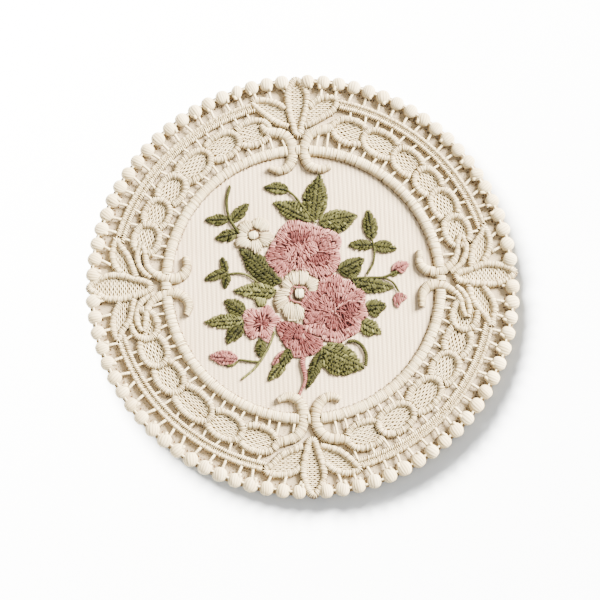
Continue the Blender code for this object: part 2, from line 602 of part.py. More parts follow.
def add_bead(relief, quarter, index, root):
    """A wrapped bead on its short stem, which is rooted at a plan point."""
    bearing = bead_bearings(quarter)[index]
    slim = NARROW_BEAD[2] if (quarter.name, index) == NARROW_BEAD[:2] else 1.0
    centre = polar(BEAD_MIDDLE, bearing)
    relief.mound(centre, (BEAD_RADIUS * slim, BEAD_RADIUS), bearing, BEAD_SHOULDER, BEAD_TOP, BEAD_SIDES)
    neck = polar(BEAD_MIDDLE - BEAD_RADIUS + 0.8, bearing)
    relief.lay(strip(np.array([root, neck]), STEM_HALF, False))


def make_edging(quarter):
    """A quarter of the beaded edge: a rail of two cords, and the beads that are rooted in it."""
    relief = Relief("bead_edging_" + quarter.name, WEB_LEVEL)
    first, last = quarter.rail
    inner, outer = (arc(radius, first, last, RAIL_STEPS) for radius in (RAIL_INNER, RAIL_OUTER))
    relief.lay(np.concatenate([outer, inner[::-1]])[::-1])
    start, end = first + RAIL_TRIM, last - RAIL_TRIM
    for radius in (RAIL_INNER + RAIL_CORD, RAIL_OUTER - RAIL_CORD):
        relief.ridge(arc(radius, start, end, RAIL_STEPS), RAIL_CORD, CORD_TOP)
    relief.draw(arc((RAIL_INNER + RAIL_OUTER) / 2, start, end, RAIL_STEPS), False)
    for index in range(BEADS_ON_PALMETTE, BEADS_PER_QUARTER - BEADS_ON_PALMETTE):
        bearing = bead_bearings(quarter)[index]
        foot = min(max(bearing, first + STEM_TRIM), last - STEM_TRIM)
        add_bead(relief, quarter, index, polar(RAIL_OUTER - 0.5, foot))
    return relief


def medallion(first, last):
    """The centre line of a medallion's outline cord, between two bearings."""
    middle, spread = (first + last) / 2, (last - first) / 2
    reach = math.radians(spread) * MEDALLION_MIDDLE + CORD / 2
    t = np.arange(MEDALLION_SIDES) / MEDALLION_SIDES * math.tau
    across = reach * np.sign(np.cos(t)) * np.abs(np.cos(t)) ** 0.9
    away = (MEDALLION_HEIGHT / 2 - CORD) * np.sign(np.sin(t)) * np.abs(np.sin(t)) ** 0.9
    return np.array(turned(np.stack([across, MEDALLION_MIDDLE + away], 1), middle))


def add_medallions(relief, quarter):
    """The row of round figures between two palmettes, each end lying over or under the next."""
    lines = [medallion(a, b) for a, b in zip(quarter.joints, quarter.joints[1:])]
    outlines = [grown(line[::-1], CORD) if clockwise(line) else grown(line, CORD) for line in lines]
    for index, line in enumerate(lines):
        covers = []
        if index and quarter.whole_first[index - 1]:
            covers.append(outlines[index - 1])
        if index + 1 < len(lines) and not quarter.whole_first[index]:
            covers.append(outlines[index + 1])
        hidden = np.zeros(len(line), bool)
        for cover in covers:
            hidden |= inside(line, cover)
        relief.lay(outlines[index])
        if not hidden.any():
            relief.ridge(line, CORD, CORD_TOP, closed=True)
            relief.draw(shrunk(line, CORD)[::2])
            continue
        for run in runs(~hidden):
            relief.ridge(line[run], CORD, CORD_TOP)
            relief.draw(shrunk(line, CORD)[run[::2]], False)


def clockwise(loop):
    """True where an outline runs clockwise."""
    x, y = loop[:, 0], loop[:, 1]
    return (x * np.roll(y, -1) - np.roll(x, -1) * y).sum() < 0


def shrunk(line, by):
    """A closed line moved inwards by a distance, point by point."""
    side = -1 if clockwise(line) else 1
    return line + normals(line, True) * by * side


def runs(flags):
    """The stretches of a closed row that are True, as lists of indexes."""
    count = len(flags)
    start = int(np.flatnonzero(~flags)[0])
    order = [(start + i) % count for i in range(count)]
    out, current = [], []
    for i in order:
        if flags[i]:
            current.append(i)
        elif current:
            out.append(current)
            current = []
    if current:
        out.append(current)
    return [r for r in out if len(r) > 2]


def add_cells(relief, quarter):
    """The gaps in the net between medallions, above and below, with a thin bride through each."""
    for joint in quarter.joints:
        for rim, point, bride_end, wide in CELL_ROWS:
            relief.gap(np.array([polar(rim, joint - wide), polar(rim, joint), polar(rim, joint + wide),
                                 polar(point, joint + CELL_POINT), polar(point, joint - CELL_POINT)]))
            side = 1 if rim > bride_end else -1
            relief.lay(strip(np.array([polar(rim + side * 0.4, joint), polar(bride_end, joint)]), BRIDE_HALF, False))


def add_palmette(relief, palmette):
    """A palmette: a mesh petal and two wings with outline cords, scrolls, and its own beads."""
    bearing = palmette.bearing
    for x_side in (-1, 1):
        for cell in PALMETTE_CELLS:
            relief.gap(np.array(turned([(x * x_side, y) for x, y in cell], bearing)))
    for wing in palmette.wings:
        line = np.array(turned(wing, bearing))
        outline = grown(line[::-1], CORD) if clockwise(line) else grown(line, CORD)
        relief.lay(outline)
        relief.ridge(line, CORD, CORD_TOP)
    for scroll in palmette.scrolls:
        line = np.array(turned(scroll, bearing))
        relief.cord(line[:, :2], line[:, 2])
    line = np.array(turned(palmette.petal, bearing))
    relief.lay(grown(line[::-1], CORD) if clockwise(line) else grown(line, CORD))
    relief.ridge(line, CORD, CORD_TOP, closed=True)


def palmette_beads(relief, palmette):
    """The beads at both sides of a palmette's tip."""
    for side in (-1, 1):
        for index, (x, y) in enumerate(PALMETTE_ROOTS):
            bearing = palmette.bearing % 360
            quarter = next(q for q in QUARTERS if beside(q, bearing, side))
            number = index if side > 0 else BEADS_PER_QUARTER - 1 - index
            add_bead(relief, quarter, number, turned([(x * side, y)], palmette.bearing)[0])


def beside(quarter, bearing, side):
    """True for the quarter that starts, or ends, at a palmette's bearing."""
    edge = quarter.beads[0] if side > 0 else quarter.beads[1]
    return abs((edge - bearing + 180) % 360 - 180) < 10


def make_border():
    """The lace border: a ring, a net with medallions, and four palmettes, worked in one piece."""
    relief = Relief("lace_border", WEB_LEVEL)
    last = 360 - 360 / RING_STEPS
    relief.sheet(arc(WEB_OUTER, 0, last, RING_STEPS), arc(RING_INNER, 0, last, RING_STEPS))
    crest = arc((RING_INNER + RING_OUTER) / 2, 0, last, RING_STEPS)
    relief.ridge(crest, (RING_OUTER - RING_INNER) / 2, RING_TOP, closed=True)
    relief.draw(arc(RING_OUTER, 0, last, RING_STEPS))
    for quarter in QUARTERS:
        add_cells(relief, quarter)
        add_medallions(relief, quarter)
    for palmette in PALMETTES:
        add_palmette(relief, palmette)
        palmette_beads(relief, palmette)
    return relief


def make_cloth():
    """The round backing cloth, a plain flat disc under everything."""
    relief = Relief("base_cloth", CLOTH_TOP, 0.0)
    relief.lay(arc(CLOTH_EDGE, 360, 360 / CLOTH_STEPS, CLOTH_STEPS))
    return relief


def leaf_outline(leaf):
    """A leaf's outline and its vein."""
    base, tip = np.array(leaf.base), np.array(leaf.tip)
    along = tip - base
    across = np.array([-along[1], along[0]]) / np.linalg.norm(along)
    t = np.array(LEAF_STATIONS)
    half = leaf.width / 2 * np.sin(math.pi * t ** LEAF_BELLY) ** LEAF_FULLNESS
    right = base + t[:, None] * along - across * half[:, None]
    left = base + t[:, None] * along + across * half[:, None]
    outline = np.concatenate([[base], right, [tip], left[::-1]])
    vein = base + np.array(VEIN_STATIONS)[:, None] * along
    return outline, vein


def blossom_outline(blossom, share=1.0, per_petal=4):
    """A flower's notched outline, or a smaller one inside it."""
    count = blossom.petals * per_petal
    t = np.arange(count) / count * math.tau + math.radians(blossom.turn)
    phase = blossom.petals * (t - math.radians(blossom.turn)) / 2
    reach = 1 - blossom.notch * (1 - np.abs(np.cos(phase)) ** 0.7)
    x = blossom.centre[0] + blossom.radii[0] * share * reach * np.cos(t)
    y = blossom.centre[1] + blossom.radii[1] * share * reach * np.sin(t)
    return np.stack([x, y], 1)


def motif_outlines(motif):
    """The outlines of all the shapes of a piece of the bouquet."""
    outlines = []
    for shape in motif.shapes:
        if isinstance(shape, Leaf):
            outlines.append(leaf_outline(shape)[0])
        elif isinstance(shape, Blossom):
            outlines.append(blossom_outline(shape))
        else:
            outlines.append(strip(smooth(shape.points, 2), shape.width / 2))
    return outlines


def make_motif(motif, above):
    """A piece of the bouquet, cut clear of the pieces that lie over it."""
    relief = Relief(motif.name, STITCH_LEVEL)
    for shape, outline in zip(motif.shapes, motif_outlines(motif)):
        relief.lay(outline)
        if isinstance(shape, Leaf):
            relief.ridge(leaf_outline(shape)[1], shape.width / 2, LEAF_TOP)
        elif isinstance(shape, Stalk):
            line = smooth(shape.points, 2)
            relief.ridge(line[1:-1], shape.width / 2, STEM_TOP)
        else:
            rim = blossom_outline(shape, PETAL_RING, 1)
            relief.ridge(rim, PETAL_RISE * min(shape.radii), PETAL_TOP, closed=True)
            if shape.knot:
                relief.mound(shape.centre, (shape.knot, shape.knot), 0.0, PETAL_TOP, KNOT_TOP, 8)
    lines = [line for line, _ in relief.lines]
    low = np.min([line.min(0) for line in lines], 0) - 1
    high = np.max([line.max(0) for line in lines], 0) + 1
    for outline in above:
        if (outline.min(0) < high).all() and (outline.max(0) > low).all():
            relief.keep_clear(grown(outline, GAP))
    return relief


def main():
    """Builds every piece of the placemat."""
    for thing in list(bpy.data.objects):
        bpy.data.objects.remove(thing, do_unlink=True)
    make_cloth().solid(LINEN, 0.95, pulled)
    for quarter in QUARTERS:
        make_edging(quarter).solid(CREAM, 0.8, pulled)
    make_border().solid(CREAM, 0.8, pulled)
    above = []
    for motif in BOUQUET:
        make_motif(motif, above).solid(motif.colour, 0.7)
        above += motif_outlines(motif)


main()
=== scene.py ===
"""The looks of a round lace placemat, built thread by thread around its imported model.

Plan sizes are in millimetres and bearings in degrees clockwise from +Y, seen from above. Every
cord, bead and stitch is made of single threads, which are laid side by side from arrays.
"""
from __future__ import annotations

import logging
import math
from dataclasses import dataclass, field
from enum import Enum

import bpy
import numpy as np
from mathutils import Matrix, Vector

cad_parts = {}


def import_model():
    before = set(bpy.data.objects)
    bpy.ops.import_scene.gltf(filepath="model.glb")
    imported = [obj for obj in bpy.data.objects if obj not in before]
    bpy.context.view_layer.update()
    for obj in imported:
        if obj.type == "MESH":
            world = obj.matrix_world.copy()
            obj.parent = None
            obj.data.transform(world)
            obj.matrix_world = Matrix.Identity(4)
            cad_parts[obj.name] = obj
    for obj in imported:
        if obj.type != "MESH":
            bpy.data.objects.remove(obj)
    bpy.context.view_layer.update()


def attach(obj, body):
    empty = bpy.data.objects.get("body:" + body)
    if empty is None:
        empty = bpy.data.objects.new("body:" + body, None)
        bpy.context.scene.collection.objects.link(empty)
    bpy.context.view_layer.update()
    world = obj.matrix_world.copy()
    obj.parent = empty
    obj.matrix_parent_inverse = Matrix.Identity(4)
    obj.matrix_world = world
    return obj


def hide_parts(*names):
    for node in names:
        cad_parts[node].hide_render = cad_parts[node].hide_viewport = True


LOG = logging.getLogger("placemat")
MM = 0.001
CHANCE = np.random.default_rng(7)

# Heights, measured from the table
CLOTH_TOP = 1.0
LACE_FLOOR = 1.25
NET_LEVEL = 2.0
CORD_TOP = 3.7
RING_TOP = 3.9
BEAD_CENTRE_HEIGHT = 3.15
BEAD_HALF_HEIGHT = 2.35

# Radii of the border's rounds
CLOTH_EDGE = 98.0
PANEL_EDGE = 63.0
RIB_PITCH = 2.1
RING_INNER, RING_OUTER = 61.2, 66.0
RAIL_INNER, RAIL_OUTER = 85.2, 89.9
RAIL_CORD = 0.9
MEDALLION_MIDDLE = 75.8
MEDALLION_HEIGHT = 14.5
CORD = 1.45
THREAD_SIDES = 4
PIT_SIDES = 5
HOLE_TRIES = 3600
RAIL_SPECKS = 420
BAR_SIDES = 5
BEAD_MIDDLE = 97.0
BEAD_RADIUS = 3.22
BEADS_PER_QUARTER = 20
NARROW_BEAD = ("northwest", 16, 0.8)

# A wave texture repeats once in a twentieth of a turn, in metres
WAVE_SCALE = math.tau / 20 / MM

# The border is pulled a little out of round towards its edge
PULL_THREE, PULL_THREE_AT = 0.44, 16.0
PULL_ONE, PULL_ONE_AT = 0.26, 207.0


class Family(Enum):
    """The thread colours of the placemat."""

    LACE = "lace"
    IVORY = "ivory"
    GREEN = "green"
    PINK = "pink"


@dataclass(frozen=True)
class Quarter:
    """One quarter of the border, from one palmette to the next."""

    name: str
    rail: tuple[float, float]
    beads: tuple[float, float]
    joints: tuple[float, ...]
    whole_first: tuple[bool, ...]


QUARTERS = (
    Quarter("northeast", (12.9, 74.4), (3.5, 85.6), (13.5, 24.7, 37.1, 47.9, 57.3, 68.0, 78.0),
            (False, False, False, False, False)),
    Quarter("southeast", (105.4, 166.2), (93.3, 176.5), (99.0, 108.4, 118.8, 129.4, 142.5, 155.0, 166.6),
            (True, False, False, False, True)),
    Quarter("southwest", (193.8, 254.6), (183.8, 266.8), (192.7, 204.7, 217.0, 231.3, 242.2, 252.5, 261.7),
            (False, False, False, False, False)),
    Quarter("northwest", (285.4, 347.1), (274.2, 356.3), (283.0, 292.7, 302.5, 313.0, 326.0, 338.0, 349.5),
            (True, True, True, True, True)),
)


@dataclass(frozen=True)
class PalmettePlan:
    """A five-part leaf figure in its own plan: x clockwise, y away from the middle."""

    name: str
    bearing: float
    petal: tuple
    wings: tuple
    scrolls: tuple


PALMETTES = (
    PalmettePlan(
        "north", 0,
        (0.5, 98.4, -2.4, 95.3, -3.9, 91, -3.9, 86.5, -3.3, 82, -2.1, 76.5, -0.6, 71.5, 1.2, 71.5,
            2.4, 76.5, 3.9, 81.5, 5, 86, 5.2, 90.5, 3.4, 95),
        ((-4.8, 83.8, -8.6, 86.6, -12.8, 88.2, -17.5, 88.7, -20.4, 87.5, -18.4, 84.8, -15.2, 81.9,
            -11.8, 79, -8, 76.8, -4.2, 75.4),
         (5.4, 83.8, 8.4, 86.8, 12.2, 88.5, 16.2, 88.8, 19.2, 87.6, 18.6, 84.4, 16.2, 81.7, 12.6, 79.7,
             8.6, 77.6, 4.2, 75.6)),
        ((-16.8, 76.2, 1.2, -14.6, 73.4, 1.9, -10, 72.6, 2.1, -6, 71.2, 2.2, -3.5, 68, 2.2, -2.8, 63.5, 2.2,
            -3.1, 59, 2.2, -5.2, 55.6, 2, -9.5, 54, 1.7, -13.8, 55.4, 1.2),
         (17.8, 76.6, 1.2, 15.2, 73.6, 1.9, 10.5, 73, 2.1, 6, 71.2, 2.2, 3.7, 67.5, 2.2, 3, 63, 2.2,
             3.3, 58.8, 2.2, 5.6, 55.4, 2, 10.3, 54, 1.7, 14.5, 55.2, 1.2)),
    ),
    PalmettePlan(
        "east", 90,
        (-1.2, 98.4, -3.9, 95, -5.2, 91, -5.7, 87, -5.6, 83.5, -3.2, 77, -1.7, 71.5, 1.3, 71.5, 2.8, 77,
            3.6, 82.5, 4, 87, 3.4, 91, 1.6, 95),
        ((-4.8, 82.3, -8.2, 84.9, -12, 86.9, -16.5, 87.9, -21, 86.9, -24, 85.4, -20.4, 84.2, -17.2, 81.8,
            -14, 79.8, -9, 78.6, -4, 78),
         (4.2, 82.6, 7.4, 85, 11, 87, 15.4, 88, 19.6, 86.8, 23.4, 85.6, 19.4, 83.8, 16.4, 81.4, 13.2, 79.2,
             9.6, 77.4, 3.6, 76.4)),
        ((-20, 74.6, 1, -16.5, 76.3, 1.2, -12, 76.3, 1.2, -8, 74.6, 1.2, -5, 72, 1.1, -2.6, 68.6, 1),
         (-19.8, 74, 1, -17, 72.6, 1.2, -12.5, 72.2, 1.3, -8.4, 70.6, 1.4, -5.2, 67.6, 1.7, -3.1, 64, 2.1,
             -3, 60.5, 2.2, -4, 57, 2.1, -7.2, 54.2, 1.8, -13, 54.4, 1.2),
         (19, 75.2, 1, 15.6, 76, 1.2, 11.5, 75.6, 1.2, 7.4, 73.6, 1.2, 4.4, 70.8, 1),
         (18.8, 74.2, 1, 15.4, 72.9, 1.2, 11, 72.3, 1.3, 7.6, 70.2, 1.4, 5, 66.9, 1.6, 3.3, 63.4, 2.1,
             3, 60, 2.2, 4.2, 56.8, 2.1, 7.6, 54.6, 1.8, 13.2, 54, 1.2)),
    ),
    PalmettePlan(
        "south", 180,
        (-0.3, 98.5, -3.4, 95, -5.1, 91, -5.2, 87, -4.3, 82.5, -3, 78, -1.5, 73.5, 0.7, 73.5, 2, 77.5,
            3.4, 82.5, 4.2, 87.5, 3.6, 91.5, 2.4, 95.5),
        ((-5.6, 83.8, -8.6, 86.4, -12, 88.2, -16.5, 88.9, -20.5, 87.9, -21.4, 86.4, -18.8, 84, -16.2, 81.2,
            -12.8, 78.8, -8.8, 77.2, -4.5, 76),
         (5.2, 85, 8, 87.4, 12, 88.6, 16.5, 88.7, 20.6, 87.6, 21.2, 86, 18, 84, 16, 81.6, 13, 79.4,
             8.5, 77.6, 4, 76)),
        ((-18.2, 76.4, 1.3, -16.4, 73.8, 1.9, -12.5, 73.1, 2, -8, 72.6, 2.1, -4.8, 70.2, 2.2, -3, 66.5, 2.2,
            -2.7, 62, 2.2, -3.7, 58, 2.1, -6.6, 54.6, 1.9, -10.5, 53.4, 1.7, -14.2, 55.2, 1.2),
         (17.2, 76.6, 1.3, 15, 74, 1.9, 11, 73, 2, 7, 71.6, 2.1, 4.4, 68.8, 2.2, 3.2, 65, 2.2, 2.8, 61, 2.2,
             3.5, 57, 2.1, 5.8, 54, 1.9, 10, 52.8, 1.7, 14, 54.4, 1.2)),
    ),
    PalmettePlan(
        "west", 270,
        (0.9, 98.6, -1.8, 95, -4.2, 91, -4.6, 87, -4.7, 84, -3, 77, -1, 71.5, 2.4, 71.5, 4.6, 78, 6.4, 84,
            6.7, 88, 6, 92, 3.8, 96),
        ((-5, 83.6, -8.4, 86, -12.5, 87.6, -17, 88.2, -21.4, 87.2, -24, 85.6, -20.4, 84.6, -17.4, 82.4,
            -14.4, 80.4, -9.5, 79.2, -4.5, 78.4),
         (7, 83.6, 9.6, 86, 12.8, 87.4, 17, 88, 20.6, 87.2, 24, 85.8, 20, 84, 16.8, 81.6, 13, 79.8, 9, 78.4,
             5, 77.2)),
        ((-20, 74.8, 1, -16.5, 76.9, 1.2, -11.5, 77.3, 1.2, -7, 75.6, 1.2, -4.2, 72.2, 1.1, -2.4, 68.6, 1),
         (-19.8, 74.2, 1, -15.5, 73.2, 1.2, -10.4, 72.6, 1.4, -6.4, 70.4, 1.5, -3.8, 66.6, 1.8,
             -2.5, 62.6, 2, -2.8, 58.8, 2, -4.8, 55.4, 1.9, -8.6, 53.4, 1.7, -13, 54.6, 1.2),
         (20.4, 75, 1, 16.4, 76.4, 1.2, 11.6, 76, 1.2, 7.6, 73.8, 1.2, 5, 70.8, 1),
         (20.2, 74.2, 1, 16.2, 72.8, 1.2, 11, 72.2, 1.3, 7.6, 70, 1.5, 5.4, 66.8, 1.8, 4.2, 63, 2.1,
             4.1, 59.2, 2.1, 5.6, 55.8, 2, 9.4, 53.6, 1.7, 14, 54.4, 1.2)),
    ),
)
# Where the stems of a palmette's own beads are rooted, from its tip outwards, at either side
PALMETTE_ROOTS = ((4.9, 92.0), (11.6, 88.6), (18.4, 88.2))


def in_rows(values: tuple, width: int = 2) -> np.ndarray:
    """Gives flat values, such as x and y by turns, as rows."""
    return np.array(values, float).reshape(-1, width)


def polar(radius: float | np.ndarray, bearing: float | np.ndarray) -> np.ndarray:
    """Gives plan points at radii and bearings.

    Args:
        radius: one radius or several.
        bearing: one bearing or several.

    Returns:
        The points, x and y in the last axis.
    """
    angle = np.radians(bearing)
    return np.stack([radius * np.sin(angle), radius * np.cos(angle)], -1)


def turned(points: tuple | np.ndarray, bearing: float) -> np.ndarray:
    """Brings points of a figure's own plan to its bearing on the mat.

    Args:
        points: rows of x, y and any further values, which stay.
        bearing: where the figure stands.

    Returns:
        The rows with x and y on the mat.
    """
    rows = np.array(points, float)
    c, s = math.cos(math.radians(bearing)), math.sin(math.radians(bearing))
    x, y = rows[:, 0].copy(), rows[:, 1].copy()
    rows[:, 0], rows[:, 1] = x * c + y * s, -x * s + y * c
    return rows


def smooth(points: tuple | np.ndarray, steps: int, closed: bool = False) -> np.ndarray:
    """Draws a soft line through points.

    Args:
        points: rows of x, y and any further values, all of which are blended.
        steps: how many steps lie between one point and the next.
        closed: whether the line runs back to its start.

    Returns:
        The rows along the line.
    """
    p = np.array(points, float)
    count = len(p)
    t = (np.arange(steps) / steps)[:, None]
    out = []
    for i in range(count if closed else count - 1):
        a, b = p[i], p[(i + 1) % count]
        before = p[i - 1] if closed or i else 2 * a - b
        after = p[(i + 2) % count] if closed or i + 2 < count else 2 * b - a
        out.append(0.5 * (2 * a + (b - before) * t + (2 * before - 5 * a + 4 * b - after) * t ** 2
                          + (3 * a - before - 3 * b + after) * t ** 3))
    if not closed:
        out.append(p[-1:])
    return np.concatenate(out)


def spaced(line: np.ndarray, pitch: float) -> np.ndarray:
    """Puts points along a line at an even pitch.

    Args:
        line: rows of x, y and any further values.
        pitch: the distance between one point and the next, rounded to fit.

    Returns:
        The rows at those points.
    """
    steps = np.linalg.norm(np.diff(line[:, :2], axis=0), axis=1)
    along = np.concatenate([[0], np.cumsum(steps)])
    count = max(2, int(round(along[-1] / pitch)) + 1)
    at = np.linspace(0, along[-1], count)
    return np.stack([np.interp(at, along, line[:, k]) for k in range(line.shape[1])], 1)


def directions(line: np.ndarray) -> np.ndarray:
    """Gives the unit directions along an open line of plan points."""
    along = np.gradient(line[:, :2], axis=0)
    return along / np.maximum(np.linalg.norm(along, axis=1), 1e-9)[:, None]


def left_of(along: np.ndarray) -> np.ndarray:
    """Gives the unit vectors a quarter turn to the left of directions."""
    return np.stack([-along[..., 1], along[..., 0]], -1)


def inside(points: np.ndarray, loop: np.ndarray) -> np.ndarray:
    """Tells which plan points lie inside a closed outline.

    Args:
        points: the points.
        loop: the outline.

    Returns:
        One truth value for each point.
    """
    x, y = points[:, 0, None], points[:, 1, None]
    x0, y0 = loop[:, 0], loop[:, 1]
    x1, y1 = np.roll(x0, -1), np.roll(y0, -1)
    rise = np.where(y1 == y0, 1e-12, y1 - y0)
    crossed = ((y0 > y) != (y1 > y)) & (x < (x1 - x0) * (y - y0) / rise + x0)
    return crossed.sum(1) % 2 == 1


def uncovered(places: np.ndarray, covers: list[np.ndarray]) -> np.ndarray:
    """Tells which places lie under none of the covers."""
    seen = np.ones(len(places), bool)
    for cover in covers:
        seen &= ~inside(places, cover)
    return seen


def offset_loop(loop: np.ndarray, by: float) -> np.ndarray:
    """Moves a closed outline outwards, or inwards for a negative distance.

    Args:
        loop: the outline, either way round.
        by: how far it moves.

    Returns:
        The moved outline.
    """
    flat = loop[:, :2]
    along = np.roll(flat, -1, 0) - np.roll(flat, 1, 0)
    along /= np.maximum(np.linalg.norm(along, axis=1), 1e-9)[:, None]
    x, y = flat[:, 0], flat[:, 1]
    side = 1 if (x * np.roll(y, -1) - np.roll(x, -1) * y).sum() < 0 else -1
    return flat + left_of(along) * by * side


def strip(line: np.ndarray, half: np.ndarray | float) -> np.ndarray:
    """Gives the outline of a cord of given half widths along an open line."""
    across = left_of(directions(line)) * np.broadcast_to(half, len(line))[:, None]
    return np.concatenate([line[:, :2] - across, (line[:, :2] + across)[::-1]])


def pulled(points: np.ndarray) -> np.ndarray:
    """Gives where points lie once the border has been pulled out of round.

    Args:
        points: rows of x, y and perhaps z.

    Returns:
        The moved rows.
    """
    x, y = points[:, 0], points[:, 1]
    radius, bearing = np.hypot(x, y), np.degrees(np.arctan2(x, y))
    pull = (PULL_THREE * np.cos(np.radians(3 * (bearing - PULL_THREE_AT)))
            + PULL_ONE * np.cos(np.radians(bearing - PULL_ONE_AT)))
    share = np.clip((radius - RING_INNER) / (BEAD_MIDDLE - RING_INNER), 0, 1)
    out = points.copy()
    out[:, :2] *= (1 + pull * share / np.maximum(radius, 1))[:, None]
    return out


@dataclass
class ThreadWork:
    """A mesh that gathers threads, each a closed tube, and becomes one piece.

    Every point keeps a tone, from dark to light in its thread's colours, and a depth, which is 1
    on a thread's crest and 0 in the crevices beside it. The material darkens by depth, so depth
    carries painted shade on the threads' undersides and between them.
    """

    name: str
    points: list[np.ndarray] = field(default_factory=list)
    quads: list[np.ndarray] = field(default_factory=list)
    caps: list[list[int]] = field(default_factory=list)
    tones: list[np.ndarray] = field(default_factory=list)
    depths: list[np.ndarray] = field(default_factory=list)
    fibres: list[np.ndarray] = field(default_factory=list)
    count: int = 0

    def strands(self, paths: np.ndarray, across: np.ndarray, widths: np.ndarray | float,
                heights: np.ndarray | float, sides: int, tones: np.ndarray | float,
                deep: float = 0.0, fade: np.ndarray | None = None) -> None:
        """Adds threads that all have the same number of points.

        Args:
            paths: the middle line of each thread, threads by points by 3.
            across: the flat direction of each thread, by 3.
            widths: half the width across, one value or threads by points.
            heights: half the height, likewise.
            sides: how many sides a thread has.
            tones: one tone, or one for each thread.
            deep: how far even the crest lies in shade.
            fade: the depth along a thread, as a share for each of its points, or of all threads'; a low
                share paints shade.
        """
        threads, stations = paths.shape[:2]
        if not threads:
            return
        along = np.gradient(paths, axis=1)
        along /= np.maximum(np.linalg.norm(along, axis=2), 1e-9)[..., None]
        flat = across[:, None] - along * (along * across[:, None]).sum(2)[..., None]
        flat /= np.maximum(np.linalg.norm(flat, axis=2), 1e-9)[..., None]
        up = np.cross(along, flat)
        turn = np.where(up[:, stations // 2, 2] < 0, -1.0, 1.0)[:, None, None]
        flat, up = flat * turn, up * turn
        angle = np.arange(sides) / sides * math.tau - math.pi / 2
        wide = np.broadcast_to(np.asarray(widths, float), (threads, stations))[..., None, None]
        high = np.broadcast_to(np.asarray(heights, float), (threads, stations))[..., None, None]
        ring = (paths[:, :, None] + flat[:, :, None] * wide * np.cos(angle)[:, None]
                + up[:, :, None] * high * np.sin(angle)[:, None])
        index = self.count + np.arange(threads * stations * sides).reshape(threads, stations, sides)
        after = np.roll(index, -1, 2)
        quads = np.stack([index[:, :-1], after[:, :-1], after[:, 1:], index[:, 1:]], -1)
        self.points.append(ring.reshape(-1, 3))
        self.quads.append(quads.reshape(-1, 4))
        self.caps += index[:, 0, ::-1].tolist() + index[:, -1].tolist()
        tone = np.broadcast_to(np.asarray(tones, float).reshape(-1, 1, 1), (threads, stations, sides))
        shares = np.ones(stations) if fade is None else fade
        # Painted shade: each thread's underside gets a low depth and is darkened, and deep darkens the crest
        # too.
        depth = (0.5 + 0.5 * np.sin(angle)) * (1 - deep) * shares[..., None]
        depth = np.broadcast_to(depth, (threads, stations, sides))
        steps = np.linalg.norm(np.diff(paths, axis=1), axis=2)
        length = np.concatenate([np.zeros((threads, 1)), np.cumsum(steps, 1)], 1)
        start = np.arange(threads)[:, None] * 0.37
        fibre = np.stack(np.broadcast_arrays((length + start)[:, :, None],
                                             (np.arange(sides) / sides)[None, None]), -1)
        self.tones.append(tone.reshape(-1))
        self.depths.append(depth.reshape(-1))
        self.fibres.append(fibre.reshape(-1, 2))
        self.count += threads * stations * sides

    def slab(self, outline: np.ndarray, low: float, high: float, tone: float, depth: float) -> None:
        """Adds a flat piece with an outline, as the ground under stitches, mostly dark to paint the
        shade seen between them, and as the dark spots.

        Args:
            outline: its plan outline.
            low: the height of its underside.
            high: the height of its top.
            tone: its tone.
            depth: its depth, near 0 where it is only seen between threads.
        """
        flat = outline[:, :2]
        x, y = flat[:, 0], flat[:, 1]
        if (x * np.roll(y, -1) - np.roll(x, -1) * y).sum() < 0:
            flat = flat[::-1]
        n = len(flat)
        low_ring = np.column_stack([flat, np.full(n, low)])
        high_ring = np.column_stack([flat, np.full(n, high)])
        index = self.count + np.arange(n)
        self.points.append(np.concatenate([low_ring, high_ring]))
        self.quads.append(np.stack([index, np.roll(index, -1), np.roll(index, -1) + n, index + n], 1))
        self.caps += [index[::-1].tolist(), (index + n).tolist()]
        self.tones.append(np.full(2 * n, tone))
        self.depths.append(np.full(2 * n, depth))
        self.fibres.append(np.zeros((2 * n, 2)))
        self.count += 2 * n

    def shell(self, points: np.ndarray, quads: np.ndarray, caps: list[list[int]], tones: np.ndarray,
              depths: np.ndarray, fibres: np.ndarray) -> None:
        """Adds a ready-made closed mesh, such as a bead."""
        self.points.append(points)
        self.quads.append(quads + self.count)
        self.caps += [[i + self.count for i in cap] for cap in caps]
        self.tones.append(tones)
        self.depths.append(depths)
        self.fibres.append(fibres)
        self.count += len(points)

    def piece(self, material: bpy.types.Material, warp: bool = False) -> bpy.types.Object:
        """Makes the gathered threads one object.

        Args:
            material: its finish.
            warp: whether it is pulled out of round with the border.

        Returns:
            The object, with its place in its mesh.
        """
        points = np.concatenate(self.points)
        if warp:
            points = pulled(points)
        quads = np.concatenate(self.quads)
        cap_loops = [i for cap in self.caps for i in cap]
        loops = np.concatenate([quads.ravel(), np.array(cap_loops, int)])
        totals = np.concatenate([np.full(len(quads), 4), np.array([len(c) for c in self.caps], int)])
        starts = np.concatenate([[0], np.cumsum(totals)[:-1]])
        mesh = bpy.data.meshes.new(self.name)
        mesh.vertices.add(len(points))
        mesh.vertices.foreach_set("co", (points * MM).astype(np.float32).ravel())
        mesh.loops.add(len(loops))
        mesh.loops.foreach_set("vertex_index", loops.astype(np.int32))
        mesh.polygons.add(len(starts))
        mesh.polygons.foreach_set("loop_start", starts.astype(np.int32))
        mesh.polygons.foreach_set("loop_total", totals.astype(np.int32))
        mesh.update(calc_edges=True)
        for name, values in (("tone", self.tones), ("depth", self.depths)):
            mesh.attributes.new(name, "FLOAT", "POINT").data.foreach_set(
                "value", np.concatenate(values).astype(np.float32))
        fibre = np.concatenate(self.fibres)[loops]
        mesh.uv_layers.new(name="fibre").data.foreach_set("uv", fibre.astype(np.float32).ravel())
        mesh.shade_smooth()
        thing = bpy.data.objects.new(self.name, mesh)
        bpy.context.scene.collection.objects.link(thing)
        mesh.materials.append(material)
        LOG.info("%s: %d points", self.name, len(points))
        return thing


